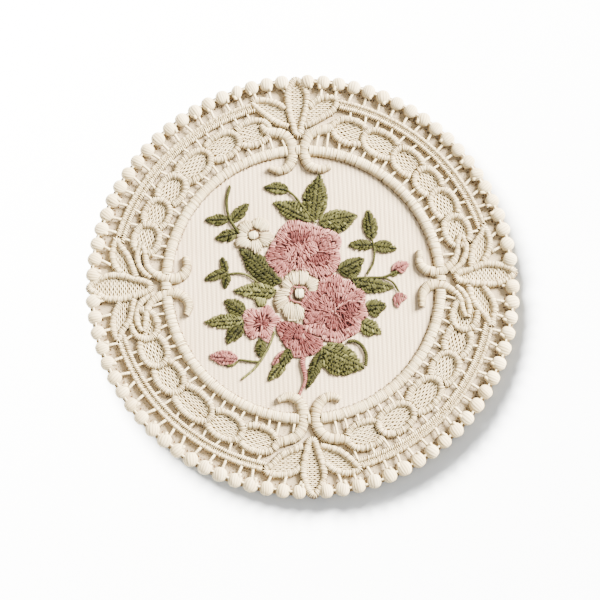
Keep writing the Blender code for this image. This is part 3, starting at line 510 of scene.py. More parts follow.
@dataclass
class NodeTree:
    """A short way to build a material's nodes."""

    name: str
    material: bpy.types.Material = None
    shader: bpy.types.Node = None

    def __post_init__(self) -> None:
        """Makes the material with its shader."""
        self.material = bpy.data.materials.new(self.name)
        self.material.use_nodes = True
        self.shader = self.material.node_tree.nodes["Principled BSDF"]

    def node(self, kind: str, **inputs: object) -> bpy.types.Node:
        """Adds a node and sets or joins the inputs that are named.

        Args:
            kind: the node's type without its prefix.
            inputs: values or sockets by input name, with spaces as underscores.

        Returns:
            The node.
        """
        node = self.material.node_tree.nodes.new("ShaderNode" + kind)
        for name, value in inputs.items():
            self.feed(node.inputs[name.replace("_", " ")], value)
        return node

    def feed(self, target: bpy.types.NodeSocket, value: object) -> None:
        """Joins an output to an input, or sets the input to a plain value."""
        if isinstance(value, bpy.types.NodeSocket):
            self.material.node_tree.links.new(value, target)
        else:
            target.default_value = value

    def finish(self, **inputs: object) -> bpy.types.Material:
        """Sets or joins the shader's inputs and gives the material."""
        for name, value in inputs.items():
            self.feed(self.shader.inputs[name.replace("_", " ")], value)
        return self.material

    def mapped(self, value: bpy.types.NodeSocket, low: float, high: float,
               start: float = 0.0, end: float = 1.0) -> bpy.types.NodeSocket:
        """Maps a value from start and end to low and high."""
        node = self.node("MapRange", Value=value, From_Min=start, From_Max=end, To_Min=low, To_Max=high)
        return node.outputs["Result"]

    def calculated(self, operation: str, first: object, second: object) -> bpy.types.NodeSocket:
        """Adds or multiplies two values."""
        node = self.node("Math")
        node.operation = operation
        self.feed(node.inputs[0], first)
        self.feed(node.inputs[1], second)
        return node.outputs[0]

    def bands(self, direction: str, **inputs: object) -> bpy.types.Node:
        """Adds a wave of bands."""
        node = self.node("TexWave", **inputs)
        node.wave_type = "BANDS"
        node.bands_direction = direction
        return node

    def attribute(self, name: str) -> bpy.types.NodeSocket:
        """Gives the value of one of the mesh's attributes."""
        node = self.node("Attribute")
        node.attribute_name = name
        return node.outputs["Fac"]

    def ramp(self, source: bpy.types.NodeSocket, stops: tuple) -> bpy.types.NodeSocket:
        """Turns a value into a colour by stops of place and colour."""
        node = self.node("ValToRGB", Fac=source)
        elements = node.color_ramp.elements
        while len(elements) < len(stops):
            elements.new(0.5)
        for element, (place, colour) in zip(elements, stops):
            element.position = place
            element.color = (*colour, 1.0)
        return node.outputs["Color"]

    def mixed(self, share: bpy.types.NodeSocket | float, first: object, second: object,
              mode: str = "MIX") -> bpy.types.NodeSocket:
        """Mixes two colours, each a socket or a plain colour."""
        node = self.node("Mix")
        node.data_type = "RGBA"
        node.blend_type = mode
        for place, value in ((0, share), (6, first), (7, second)):
            self.feed(node.inputs[place], (*value, 1.0) if isinstance(value, tuple) else value)
        return node.outputs[2]


@dataclass(frozen=True)
class ThreadFinish:
    """A twisted embroidery thread: its colours by tone, the dark colour that paints shade in its crevices,
    gloss and ply.
    """

    family: Family
    stops: tuple
    crevice_shade: tuple[float, float, float]
    crevice_shade_share: float = 0.7
    roughness: float = 0.62
    sheen: float = 0.25
    ply: float = 0.35
    gloss: float = 0.3

    def material(self) -> bpy.types.Material:
        """Builds the thread's material.

        Returns:
            The material, which reads the attributes tone and depth and the map fibre.
        """
        tree = NodeTree(self.family.value + "_thread")
        place = tree.node("TexCoord").outputs["Object"]
        patches = tree.node("TexNoise", Vector=place, Scale=90.0, Detail=3.0)
        uneven = tree.mapped(patches.outputs["Fac"], -0.1, 0.1)
        colour = tree.ramp(tree.calculated("ADD", tree.attribute("tone"), uneven), self.stops)
        # Painted shade: where the depth attribute is low, on thread undersides and between threads, the
        # colour darkens towards the shade colour.
        deep = tree.mapped(tree.attribute("depth"), self.crevice_shade_share, 0.0, 0.3, 0.86)
        colour = tree.mixed(deep, colour, self.crevice_shade)
        fibre = tree.node("UVMap")
        fibre.uv_map = "fibre"
        twist = tree.bands("DIAGONAL", Vector=fibre.outputs["UV"], Scale=1.4, Distortion=2.0, Detail=2.0)
        grain = tree.node("TexNoise", Vector=place, Scale=2600.0, Detail=2.0)
        both = tree.mixed(0.45, twist.outputs["Color"], grain.outputs["Color"])
        bump = tree.node("Bump", Height=both, Strength=self.ply, Distance=0.00012)
        rough = tree.mapped(grain.outputs["Fac"], self.roughness - 0.08, self.roughness + 0.12)
        return tree.finish(Base_Color=colour, Normal=bump.outputs["Normal"], Roughness=rough,
                           Sheen_Weight=self.sheen, Sheen_Roughness=0.4, Specular_IOR_Level=self.gloss)


@dataclass(frozen=True)
class ClothFinish:
    """A ribbed cotton cloth: warm white, with fine threads across its ribs, and painted shade in its rib
    grooves.
    """

    name: str
    light: tuple[float, float, float]
    dark: tuple[float, float, float]
    weave: float = 0.5
    texture: float = 0.25
    weft_pitch: float = 0.98
    weft_turn: float = 27.0

    def material(self) -> bpy.types.Material:
        """Builds the cloth's material on Object coordinates.

        Returns:
            The material.
        """
        tree = NodeTree(self.name)
        place = tree.node("TexCoord").outputs["Object"]
        blotch = tree.node("TexNoise", Vector=place, Scale=45.0, Detail=4.0)
        colour = tree.ramp(blotch.outputs["Fac"], ((0.3, self.dark), (0.7, self.light)))
        turn = tree.node("Mapping", Vector=place, Rotation=(0.0, 0.0, math.radians(self.weft_turn)))
        weft = tree.bands("Y", Vector=turn.outputs["Vector"], Scale=WAVE_SCALE / self.weft_pitch,
                          Distortion=0.5, Detail=1.0)
        warp = tree.bands("X", Vector=place, Scale=WAVE_SCALE / (RIB_PITCH / 3), Distortion=0.8)
        woven = tree.mixed(0.5, weft.outputs["Color"], warp.outputs["Color"])
        shade = tree.mixed(self.texture, colour, woven, "MULTIPLY")
        # Painted shade: where the groove attribute is high, in the ribs' grooves, dots along the weft are
        # darkened.
        groove_shade_dots = tree.mapped(weft.outputs["Fac"], 0.1, 1.25, 0.35, 0.85)
        share = tree.calculated("MULTIPLY", tree.attribute("groove"), groove_shade_dots)
        shade = tree.mixed(share, shade, tuple(0.36 * v for v in self.dark))
        bump = tree.node("Bump", Height=woven, Strength=self.weave, Distance=0.0001)
        return tree.finish(Base_Color=shade, Normal=bump.outputs["Normal"], Roughness=0.85,
                           Sheen_Weight=0.05, Specular_IOR_Level=0.15)


# The third value of each thread finish is its painted shade colour, and the fourth how strongly it is mixed
# in.
LACE_FINISH = ThreadFinish(
    Family.LACE, ((0.0, (0.20, 0.125, 0.055)), (0.5, (0.457, 0.366, 0.207)),
                  (1.0, (0.59, 0.51, 0.335))),
    (0.07, 0.036, 0.012), 0.82, sheen=0.06, gloss=0.22)
IVORY_FINISH = ThreadFinish(
    Family.IVORY, ((0.0, (0.05, 0.026, 0.01)), (0.35, (0.25, 0.19, 0.10)), (0.65, (0.43, 0.375, 0.235)),
                   (1.0, (0.54, 0.49, 0.34))),
    (0.13, 0.08, 0.036), 0.85, 0.5, 0.06, gloss=0.25)
GREEN_FINISH = ThreadFinish(
    Family.GREEN, ((0.0, (0.0022, 0.0027, 0.0004)), (0.35, (0.0175, 0.0178, 0.0040)),
                   (0.65, (0.044, 0.0435, 0.0122)), (1.0, (0.158, 0.157, 0.058))),
    (0.004, 0.004, 0.0008), 0.55, 0.6, 0.01, gloss=0.07)
PINK_FINISH = ThreadFinish(
    Family.PINK, ((0.0, (0.02, 0.004, 0.004)), (0.3, (0.075, 0.0175, 0.0165)), (0.62, (0.175, 0.064, 0.058)),
                  (1.0, (0.33, 0.165, 0.145))),
    (0.045, 0.011, 0.010), 0.4, 0.55, 0.03, gloss=0.12)
PANEL_FINISH = ClothFinish("centre_cloth_finish", (0.60, 0.487, 0.345), (0.535, 0.425, 0.283), 0.6, 0.42)
# The backing's colours are darker than the panel's, in part painted shade for the cloth seen in the gaps
# under the lace.
BACKING_FINISH = ClothFinish("backing_cloth_finish", (0.44, 0.355, 0.235), (0.36, 0.285, 0.18), 0.3, 0.25)


@dataclass
class Studio:
    """The camera at the photograph's angle, a pale table top and two soft lamps."""

    azimuth: float = -10.2
    elevation: float = 77.8
    distance: float = 0.883
    roll: float = 7.89
    lens: float = 114.24
    frame_pixels: float = 600.0
    origin_pixel: tuple[float, float] = (303.7, 283.8)
    scale_pixels: float = 1904.0

    def view_axes(self) -> tuple[Vector, Vector, Vector]:
        """Gives the camera's right, up and back directions, with its roll."""
        a, e, r = (math.radians(v) for v in (self.azimuth, self.elevation, self.roll))
        back = Vector((math.sin(a) * math.cos(e), -math.cos(a) * math.cos(e), math.sin(e)))
        right = Vector((math.cos(a), math.sin(a), 0))
        up = back.cross(right)
        return right * math.cos(r) + up * math.sin(r), up * math.cos(r) - right * math.sin(r), back

    def camera(self) -> None:
        """Aims the camera so that the mat's middle falls where the photograph has it."""
        right, up, back = self.view_axes()
        middle = self.frame_pixels / 2
        shift_x = (self.origin_pixel[0] - middle) / self.scale_pixels * self.distance
        shift_y = (middle - self.origin_pixel[1]) / self.scale_pixels * self.distance
        place = back * self.distance
        target = -right * shift_x - up * shift_y
        look = (place - target).normalized()
        side = up.cross(look).normalized()
        top = look.cross(side)
        data = bpy.data.cameras.new("camera")
        data.lens = self.lens
        data.sensor_width = 36.0
        data.clip_start, data.clip_end = 0.01, 20.0
        camera = bpy.data.objects.new("camera", data)
        camera.matrix_world = Matrix.Translation(place) @ Matrix((side, top, look)).transposed().to_4x4()
        bpy.context.scene.collection.objects.link(camera)
        bpy.context.scene.camera = camera

    def lamp(self, name: str, bearing: float, height: float, away: float, size: tuple[float, float],
             power: float, table: bpy.types.Object, on_table: bool) -> None:
        """Adds an area lamp that faces the mat.

        Args:
            name: the lamp's name.
            bearing: its bearing from the picture's top, clockwise.
            height: its angle above the table.
            away: its distance from the mat.
            size: its width and height.
            power: its power in watts.
            table: the table top.
            on_table: whether it lights the table top alone, or all but the table top.
        """
        right, up, _ = self.view_axes()
        b, e = math.radians(bearing), math.radians(height)
        flat = (up * math.cos(b) + right * math.sin(b))
        flat.z = 0
        place = (flat.normalized() * math.cos(e) + Vector((0, 0, math.sin(e)))) * away
        data = bpy.data.lights.new(name, "AREA")
        data.shape = "RECTANGLE"
        data.size, data.size_y = size
        data.energy = power
        data.color = (1.0, 0.94, 0.84)
        lamp = bpy.data.objects.new(name, data)
        lamp.location = place
        lamp.rotation_euler = place.to_track_quat("Z", "Y").to_euler()
        bpy.context.scene.collection.objects.link(lamp)
        lit = bpy.data.collections.new(name + "_lights")
        lit.objects.link(table)
        lit.collection_objects[0].light_linking.link_state = "INCLUDE" if on_table else "EXCLUDE"
        lamp.light_linking.receiver_collection = lit

    def light(self, table: bpy.types.Object) -> None:
        """Sets the lamps and the sky.

        The key on the mat comes from the right, and the table has a broad lamp of its own from the
        upper left, which lays the one soft shadow below and to the right of the mat.

        Args:
            table: the table top.
        """
        self.lamp("key", 54.0, 32.0, 2.4, (1.1, 1.1), 1230.0, table, False)
        self.lamp("table_lamp", -35.0, 20.5, 3.2, (2.6, 0.6), 7600.0, table, True)
        world = bpy.data.worlds.new("sky")
        world.use_nodes = True
        world.node_tree.nodes["Background"].inputs["Color"].default_value = (1.0, 0.955, 0.885, 1.0)
        world.node_tree.nodes["Background"].inputs["Strength"].default_value = 1.35
        bpy.context.scene.world = world

    def table(self) -> bpy.types.Object:
        """Lays a pale table top under the mat.

        Returns:
            The table top.
        """
        bpy.ops.mesh.primitive_plane_add(size=6.0, location=(0, 0, -0.00002))
        floor = bpy.context.object
        floor.name = "table_top"
        finish = NodeTree("table_top_finish").finish(Base_Color=(0.56, 0.60, 0.655, 1.0), Roughness=0.8)
        floor.data.materials.append(finish)
        return floor


@dataclass
class Backing:
    """The backing cloth: a smooth round under the lace, and the ribbed panel in its middle."""

    thickness: float = CLOTH_TOP
    edge: float = CLOTH_EDGE
    panel: float = PANEL_EDGE
    panel_rise: float = 0.12
    rib_height: float = 0.17
    columns_per_rib: int = 6
    rows: int = 22

    def round_cloth(self) -> bpy.types.Object:
        """Models the smooth round: a disc drawn up to its thickness, with a soft rolled edge.

        Returns:
            The cloth, pulled out of round with the border.
        """
        bpy.ops.object.select_all(action="DESELECT")
        bpy.ops.mesh.primitive_circle_add(vertices=180, radius=(self.edge - 0.35) * MM, fill_type="NGON",
                                          location=(0, 0, 0))
        cloth = bpy.context.object
        cloth.name = "backing_cloth"
        bpy.ops.object.mode_set(mode="EDIT")
        bpy.ops.mesh.select_all(action="SELECT")
        bpy.ops.mesh.extrude_region_move(TRANSFORM_OT_translate={"value": (0, 0, 0.3 * MM)})
        bpy.ops.transform.resize(value=((self.edge + 0.05) / (self.edge - 0.35),) * 2 + (1.0,))
        bpy.ops.mesh.extrude_region_move(TRANSFORM_OT_translate={"value": (0, 0, 0.4 * MM)})
        bpy.ops.mesh.extrude_region_move(
            TRANSFORM_OT_translate={"value": (0, 0, (self.thickness - 0.72) * MM)})
        bpy.ops.transform.resize(value=((self.edge - 0.5) / (self.edge + 0.05),) * 2 + (1.0,))
        for _ in range(3):
            bpy.ops.mesh.inset(thickness=9.0 * MM, depth=0.0)
        bpy.ops.mesh.select_all(action="SELECT")
        bpy.ops.mesh.normals_make_consistent(inside=False)
        bpy.ops.object.mode_set(mode="OBJECT")
        bpy.ops.object.shade_smooth_by_angle(angle=math.radians(50))
        points = np.zeros(len(cloth.data.vertices) * 3, np.float32)
        cloth.data.vertices.foreach_get("co", points)
        moved = pulled(points.reshape(-1, 3) / MM) * MM
        cloth.data.vertices.foreach_set("co", moved.astype(np.float32).ravel())
        cloth.data.materials.append(BACKING_FINISH.material())
        return cloth

    def ribbed_panel(self) -> bpy.types.Object:
        """Models the panel, a thin round whose top rises and falls with its ribs.

        Returns:
            The panel.
        """
        ribs = int(2 * self.panel / RIB_PITCH)
        columns = ribs * self.columns_per_rib + 1
        x = np.linspace(-self.panel, self.panel, columns)
        half = np.sqrt(np.maximum(self.panel ** 2 - x ** 2, 0.04))
        share = np.sin(np.linspace(-math.pi / 2, math.pi / 2, self.rows))
        grid_x = np.repeat(x[:, None], self.rows, 1)
        grid_y = half[:, None] * share[None]
        waver = 0.12 * np.sin(grid_y * 0.11 + 0.6 * np.sin(grid_x * 0.07)) + 0.05 * np.sin(grid_y * 0.43)
        rib = np.abs(np.cos(math.pi * (grid_x + waver) / RIB_PITCH)) ** 0.8
        swell = 0.06 * np.sin(grid_x * 0.09 + 1.0) * np.sin(grid_y * 0.08)
        top = self.thickness + self.panel_rise + self.rib_height * rib + swell * (1 - share[None] ** 2)
        high = np.stack([grid_x, grid_y, top], -1).reshape(-1, 3)
        low = np.stack([grid_x, grid_y, np.full_like(top, self.thickness - 0.3)], -1).reshape(-1, 3)
        index = np.arange(columns * self.rows).reshape(columns, self.rows)
        up = np.stack([index[:-1, :-1], index[1:, :-1], index[1:, 1:], index[:-1, 1:]], -1).reshape(-1, 4)
        # The groove attribute tells the material where to paint shade in the grooves between ribs.
        groove = (0.85 * (1 - rib)).ravel()
        n = columns * self.rows
        down = up[:, ::-1] + n
        rim = np.concatenate([index[:, 0], index[-1, 1:], index[::-1, -1][1:], index[0, ::-1][1:-1]])
        after = np.roll(rim, -1)
        wall = np.stack([rim + n, after + n, after, rim], 1)
        mesh = bpy.data.meshes.new("centre_panel")
        mesh.from_pydata((np.concatenate([high, low]) * MM).tolist(), [],
                         np.concatenate([up, down, wall]).tolist())
        mesh.shade_smooth()
        mesh.attributes.new("groove", "FLOAT", "POINT").data.foreach_set(
            "value", np.concatenate([groove, 0 * groove]).astype(np.float32))
        panel = bpy.data.objects.new("centre_panel", mesh)
        bpy.context.scene.collection.objects.link(panel)
        mesh.materials.append(PANEL_FINISH.material())
        return panel

    def build(self) -> None:
        cloth, panel = self.round_cloth(), self.ribbed_panel()
        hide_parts("base_cloth")
        for piece in (cloth, panel):
            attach(piece, "root")
        LOG.info("backing cloth and centre panel")


@dataclass(frozen=True)
class CordStyle:
    """How a padded cord is wound with thread."""

    pitch: float
    thread: float
    fill: float
    uneven: float = 0.05
    bundle: float = 0.0
    pinch: float = 0.0
    lean: float = 0.14
    stations: int = 7
    spread: float = 0.13


def wind_cord(work: ThreadWork, line: np.ndarray, half: np.ndarray | float, floor: float, top: float,
              covers: list[np.ndarray], style: CordStyle, tone: float, closed: bool = False) -> None:
    """Lays a padded cord along a line and winds it with thread, side by side.

    Args:
        work: the mesh that takes the threads.
        line: the cord's plan line.
        half: half its width, one value or one for each point.
        floor: the height at its edges.
        top: the height of its crest.
        covers: outlines of what lies over it, where nothing is wound.
        style: how it is wound.
        tone: the middle of its threads' tones.
        closed: whether the line runs back to its start.
    """
    rows = np.column_stack([line[:, :2], np.broadcast_to(half, len(line))])
    if closed:
        rows = np.concatenate([rows, rows[:1]])
    rows = spaced(rows, style.pitch)
    if closed:
        rows = rows[:-1]
    along = directions(np.concatenate([rows[-1:], rows, rows[:1]]))[1:-1] if closed else directions(rows)
    shown = uncovered(rows[:, :2], covers)
    core = np.concatenate([rows, rows[:1]]) if closed else rows
    core_along = np.concatenate([along, along[:1]]) if closed else along
    for run in stretches(np.concatenate([shown, shown[:1]]) if closed else shown):
        if len(run) < 3:
            continue
        run = np.unique(np.append(run[::2], run[-1]))
        path = np.column_stack([core[run, :2], np.full(len(run), floor)])
        flat = np.column_stack([left_of(core_along[run]), np.zeros(len(run))])
        # The padding under the wraps is dark: painted shade where it shows between them.
        core_tube(work, path, flat, core[run, 2] + 0.28, 0.3, 0.05, 0.12)
        core_tube(work, path, flat, core[run, 2] * 0.92, (top - floor) * 0.9, 0.15, 0.25)
    rows, along = rows[shown], along[shown]
    count = len(rows)
    if not count:
        return
    lean = style.lean + CHANCE.normal(0, 0.035, count)
    chance = CHANCE.random(count)
    if style.bundle:
        ends = np.cumsum(CHANCE.normal(style.bundle, style.bundle * 0.25, count).clip(2).astype(int))
        ends = np.concatenate([[0], ends[ends < count], [count]])
        number = np.searchsorted(ends, np.arange(count), side="right") - 1
        share = (np.arange(count) - ends[number] + 0.5) / (ends[number + 1] - ends[number])
        bulge = 0.4 - (2 * share - 1) ** 2
        grown = style.pinch * bulge + CHANCE.normal(0, style.uneven, len(ends))[number]
        lean = lean + CHANCE.normal(0, 0.07, len(ends))[number]
        gap = share == (0.5 / (ends[number + 1] - ends[number]))
        fine, deep = 0.6, 0.24
    else:
        grown = np.sin(np.arange(count) * 0.55 + CHANCE.uniform(0, 6)) * style.uneven
        gap = chance < 0.16
        fine, deep = 1.0, 0.12
    wide = rows[:, 2] * (1 + 0.8 * grown + fine * CHANCE.normal(0, style.uneven, count))
    high = (top - floor) * (1 + 0.7 * grown + fine * CHANCE.normal(0, 0.03, count))
    angle = np.linspace(-1, 1, style.stations) * math.radians(88)
    across = left_of(along)
    out = wide[:, None] * np.sin(angle)
    slide = lean[:, None] * out + CHANCE.normal(0, 0.05, (count, 1))
    plan = rows[:, None, :2] + across[:, None] * out[..., None] + along[:, None] * slide[..., None]
    lift = floor - 0.1 + high[:, None] * np.cos(angle) ** 0.7
    paths = np.concatenate([plan, lift[..., None]], -1)
    flat = np.column_stack([along, np.zeros(count)])
    thick = style.pitch * style.fill * (1 + CHANCE.normal(0, 0.06, count))
    thick *= np.where(gap, 0.7, 1.0)
    # The gap threads are thinner and darker: painted shade in the grooves between bundles.
    tones = tone + CHANCE.normal(0, style.spread * (0.4 + 0.6 * fine), count) - deep * gap
    # Painted shade: the depth falls towards the cord's edges, where each thread goes down.
    rim = np.abs(np.sin(angle))
    fade = np.clip(1.12 - 0.45 * rim ** 6, 0, 1)
    work.strands(paths, flat, thick[:, None], style.thread, THREAD_SIDES, tones, fade=fade)


def core_tube(work: ThreadWork, path: np.ndarray, flat: np.ndarray, half: np.ndarray, high: float,
              tone: float, depth: float) -> None:
    """Adds the padding under a wound cord, half an ellipse across, in a dark tone that paints the
    shade between the wraps.

    Args:
        work: the mesh that takes it.
        path: its plan line with heights.
        flat: unit vectors across it.
        half: half its width at each point.
        high: how high it stands.
        tone: its tone.
        depth: its depth.
    """
    angle = np.linspace(0, math.pi, 5)
    ring = (path[:, None] + flat[:, None] * (half[:, None] * np.cos(angle))[..., None]
            + np.array([0.0, 0.0, 1.0]) * (high * np.sin(angle))[None, :, None])
    stations, sides = ring.shape[:2]
    index = np.arange(stations * sides).reshape(stations, sides)
    after = np.roll(index, -1, 1)
    quads = np.stack([index[:-1], after[:-1], after[1:], index[1:]], -1).reshape(-1, 4)
    caps = [index[0, ::-1].tolist(), index[-1].tolist()]
    step = path[1] - path[0]
    if np.cross(flat[0], [0.0, 0.0, 1.0]) @ step < 0:
        quads = quads[:, ::-1]
        caps = [cap[::-1] for cap in caps]
    n = stations * sides
    work.shell(ring.reshape(-1, 3), quads, caps, np.full(n, tone), np.full(n, depth), np.zeros((n, 2)))


def stretches(flags: np.ndarray) -> list[np.ndarray]:
    """Gives the runs of a row that are True, as index arrays."""
    at = np.flatnonzero(flags)
    if not len(at):
        return []
    return np.split(at, np.flatnonzero(np.diff(at) > 1) + 1)


def bar(work: ThreadWork, start: np.ndarray, end: np.ndarray, half: float,
        low: float = NET_LEVEL, rise: float = 0.35, tone: float = 0.6) -> None:
    """Adds a short wrapped bar, or bride, between two plan points, with a dark spot of painted shade beside
    each end.

    Args:
        work: the mesh that takes it.
        start: one end.
        end: the other end.
        half: half its width.
        low: the height of its ends' middle.
        rise: how far its middle arches up.
        tone: the middle of its tone.
    """
    length = float(np.linalg.norm(end - start))
    count = max(7, int(length / 0.3) | 1)
    t = np.linspace(0, 1, count)
    plan = start + (end - start) * t[:, None]
    lift = low + rise * np.sin(math.pi * t)
    path = np.column_stack([plan, lift])[None]
    step = (end - start) / max(length, 1e-6)
    flat = np.array([[-step[1], step[0], 0.0]])
    beat = np.where(np.arange(count) % 3, 1.06, 0.9)
    flare = (1 + 0.35 * np.abs(2 * t - 1) ** 2) * (1 - np.abs(2 * t - 1) ** 8 * 0.6)
    width = half * beat * flare * (1 + CHANCE.normal(0, 0.05, count))
    work.strands(path, flat, width[None], (width * 0.9)[None], BAR_SIDES, tone + CHANCE.normal(0, 0.06))
    # A dark spot of painted shade beside each end.
    for place in (start + step * 0.5, end - step * 0.5):
        side = flat[0, :2] * half * CHANCE.choice([-1.0, 1.0])
        speck_and_shade_spot(work, place + side, CHANCE.uniform(0.35, 0.6), step)


def speck_and_shade_spot(work: ThreadWork, place: np.ndarray, size: float, way: np.ndarray,
        height: float = CLOTH_TOP, tone: float = 0.0) -> None:
    """Adds a small dark spot of uneven outline: painted shade at needle holes and in crevices beside
    cords, beads and stitches, and a speck of the cloth where scattered over open gaps.

    Args:
        work: the mesh that takes it.
        place: where it is.
        size: half its length.
        way: the direction in which it is long.
        height: the height of the cloth there.
        tone: its tone, higher for a shallow one.
    """
    t = np.arange(PIT_SIDES) / PIT_SIDES * math.tau
    rim = size * (1.06 + CHANCE.normal(0, 0.18, PIT_SIDES))
    plan = place + (rim * np.cos(t))[:, None] * way + (rim * 0.62 * np.sin(t))[:, None] * left_of(way)
    work.slab(plan, height - 0.3, height + 0.06, tone, 3 * tone)


def net_fill(work: ThreadWork, outline: np.ndarray, direction: np.ndarray,
             pitch: float = 0.86, level: float = NET_LEVEL, covers: list[np.ndarray] = (),
             mesh: bool = True) -> None:
    """Fills an outline with wavy rows of thread that meet and part, so that small holes show, over a
    dark sheet that paints the shade in the holes.

    Args:
        work: the mesh that takes the threads.
        outline: the plan outline to fill.
        direction: the way that the rows run.
        pitch: the distance from row to row.
        level: their height.
        covers: outlines of what lies over the filling.
        mesh: whether the rows meet and part evenly, or wander.
    """
    # A dark sheet under the rows: painted shade seen through the holes.
    work.slab(outline, LACE_FLOOR, level - 0.45, 0.2, 0.3)
    side = left_of(direction)
    middle = outline.mean(0)
    u, v = (outline - middle) @ direction, (outline - middle) @ side
    for way, gap, thick, drop in ((0, pitch * 2.0, 0.3, 0.22), (1, pitch * 1.06, 0.33, 0.0)):
        along, across = (direction, side) if way else (side, direction)
        reach, spread = (u, v) if way else (v, u)
        rows = np.arange(spread.min() + gap * 0.4, spread.max(), gap)
        made = []
        for number, row in enumerate(rows):
            t = np.arange(reach.min(), reach.max(), 0.3)
            phase = number * math.pi + CHANCE.uniform(-0.5, 0.5)
            swing = t * math.tau / (2.6 if mesh else CHANCE.uniform(2.6, 3.4)) + phase
            wave = (0.24 if mesh else 0.3) * pitch * np.sin(swing) * way
            wave = wave + CHANCE.normal(0, 0.05) + (0 if mesh else 0.04 * t * CHANCE.normal(0, 0.5))
            points = middle + along * t[:, None] + across * (row + wave)[:, None]
            lift = level - drop + 0.14 * np.cos(t * math.tau / 2.6 + phase)
            for run in stretches(inside(points, outline) & uncovered(points, covers)):
                if len(run) > 4:
                    made.append(np.column_stack([points[run], lift[run]]))
        if not made:
            continue
        stations = 20
        paths = np.stack([resampled(m, stations) for m in made])
        flat = np.tile(np.append(across, 0.0), (len(paths), 1))
        # The lower rows get darker tones and less depth: painted shade.
        tones = 0.68 + CHANCE.normal(0, 0.12, len(paths)) - drop * 0.7
        work.strands(paths, flat, thick, thick * 0.8, THREAD_SIDES, tones, deep=drop)


def resampled(path: np.ndarray, count: int) -> np.ndarray:
    """Gives a path with a set number of points, evenly spaced."""
    along = np.concatenate([[0], np.cumsum(np.linalg.norm(np.diff(path, axis=0), axis=1))])
    at = np.linspace(0, along[-1], count)
    return np.stack([np.interp(at, along, path[:, k]) for k in range(path.shape[1])], 1)


def settle(piece: bpy.types.Object, slot: str, *nodes: str) -> None:
    """Lets a piece ride on the mat and stand for its nodes, whose imported parts it hides."""
    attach(piece, "root")
    if nodes:
        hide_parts(*nodes)


KNOBBY = CordStyle(0.62, 0.3, 0.5, 0.09, bundle=3.0, pinch=0.2, lean=0.08)
PLUMP = CordStyle(0.6, 0.28, 0.51, 0.06, bundle=3.6, pinch=0.14)
SATIN_CORD = CordStyle(0.56, 0.25, 0.52, 0.04, bundle=4.4, pinch=0.08)
RING_STYLE = CordStyle(0.54, 0.22, 0.6, 0.02, bundle=4.6, pinch=0.05, lean=0.02, stations=8)
OUTER_RAIL = CordStyle(0.6, 0.28, 0.5, 0.06, bundle=3.2, pinch=0.18, lean=0.2, stations=6)
INNER_RAIL = CordStyle(0.96, 0.36, 0.42, lean=0.3, stations=6)


@dataclass
class PalmetteWork:
    """One palmette: a mesh petal, two mesh wings and its scrolls, each edged with wound cord."""

    plan: PalmettePlan
    top: float = CORD_TOP

    def lines(self) -> tuple[np.ndarray, list[np.ndarray], list[np.ndarray]]:
        """Gives the plan lines of the petal, the wings and the scrolls, on the mat."""
        bearing = self.plan.bearing
        petal = smooth(turned(in_rows(self.plan.petal), bearing), 6, closed=True)
        wings = [smooth(turned(in_rows(w), bearing), 6) for w in self.plan.wings]
        scrolls = [smooth(turned(in_rows(s, 3), bearing), 6) for s in self.plan.scrolls]
        return petal, wings, scrolls

    def outlines(self) -> list[np.ndarray]:
        """Gives the outlines of all that the palmette covers."""
        petal, wings, scrolls = self.lines()
        return ([offset_loop(petal, CORD)] + [offset_loop(w, CORD) for w in wings]
                + [strip(s, s[:, 2]) for s in scrolls])

    def build(self, material: bpy.types.Material) -> None:
        """Makes the palmette as one piece.

        Args:
            material: the lace thread's finish.
        """
        work = ThreadWork("lace_palmette_" + self.plan.name)
        petal, wings, scrolls = self.lines()
        outward = polar(1.0, self.plan.bearing)
        tangent = left_of(outward)
        petal_cover = offset_loop(petal, CORD * 0.9)
        scroll_covers = [strip(s, s[:, 2]) for s in scrolls]
        for wing in wings:
            net_fill(work, wing[:, :2], tangent, covers=[petal_cover])
            wind_cord(work, wing, CORD, LACE_FLOOR, self.top, [petal_cover], PLUMP, 0.7)
        net_fill(work, petal[:, :2], tangent, level=NET_LEVEL + 0.15)
        wind_cord(work, petal, CORD, LACE_FLOOR, self.top + 0.2, scroll_covers, PLUMP, 0.71, True)
        for number, scroll in enumerate(scrolls):
            later = [strip(s, s[:, 2] * 0.9) for s in scrolls[number + 1:]]
            lift = self.top + 0.15 + 0.1 * number
            wind_cord(work, scroll, scroll[:, 2] * 1.12, LACE_FLOOR, lift, later, SATIN_CORD, 0.66)
        piece = work.piece(material, warp=True)
        settle(piece, "lace_thread")


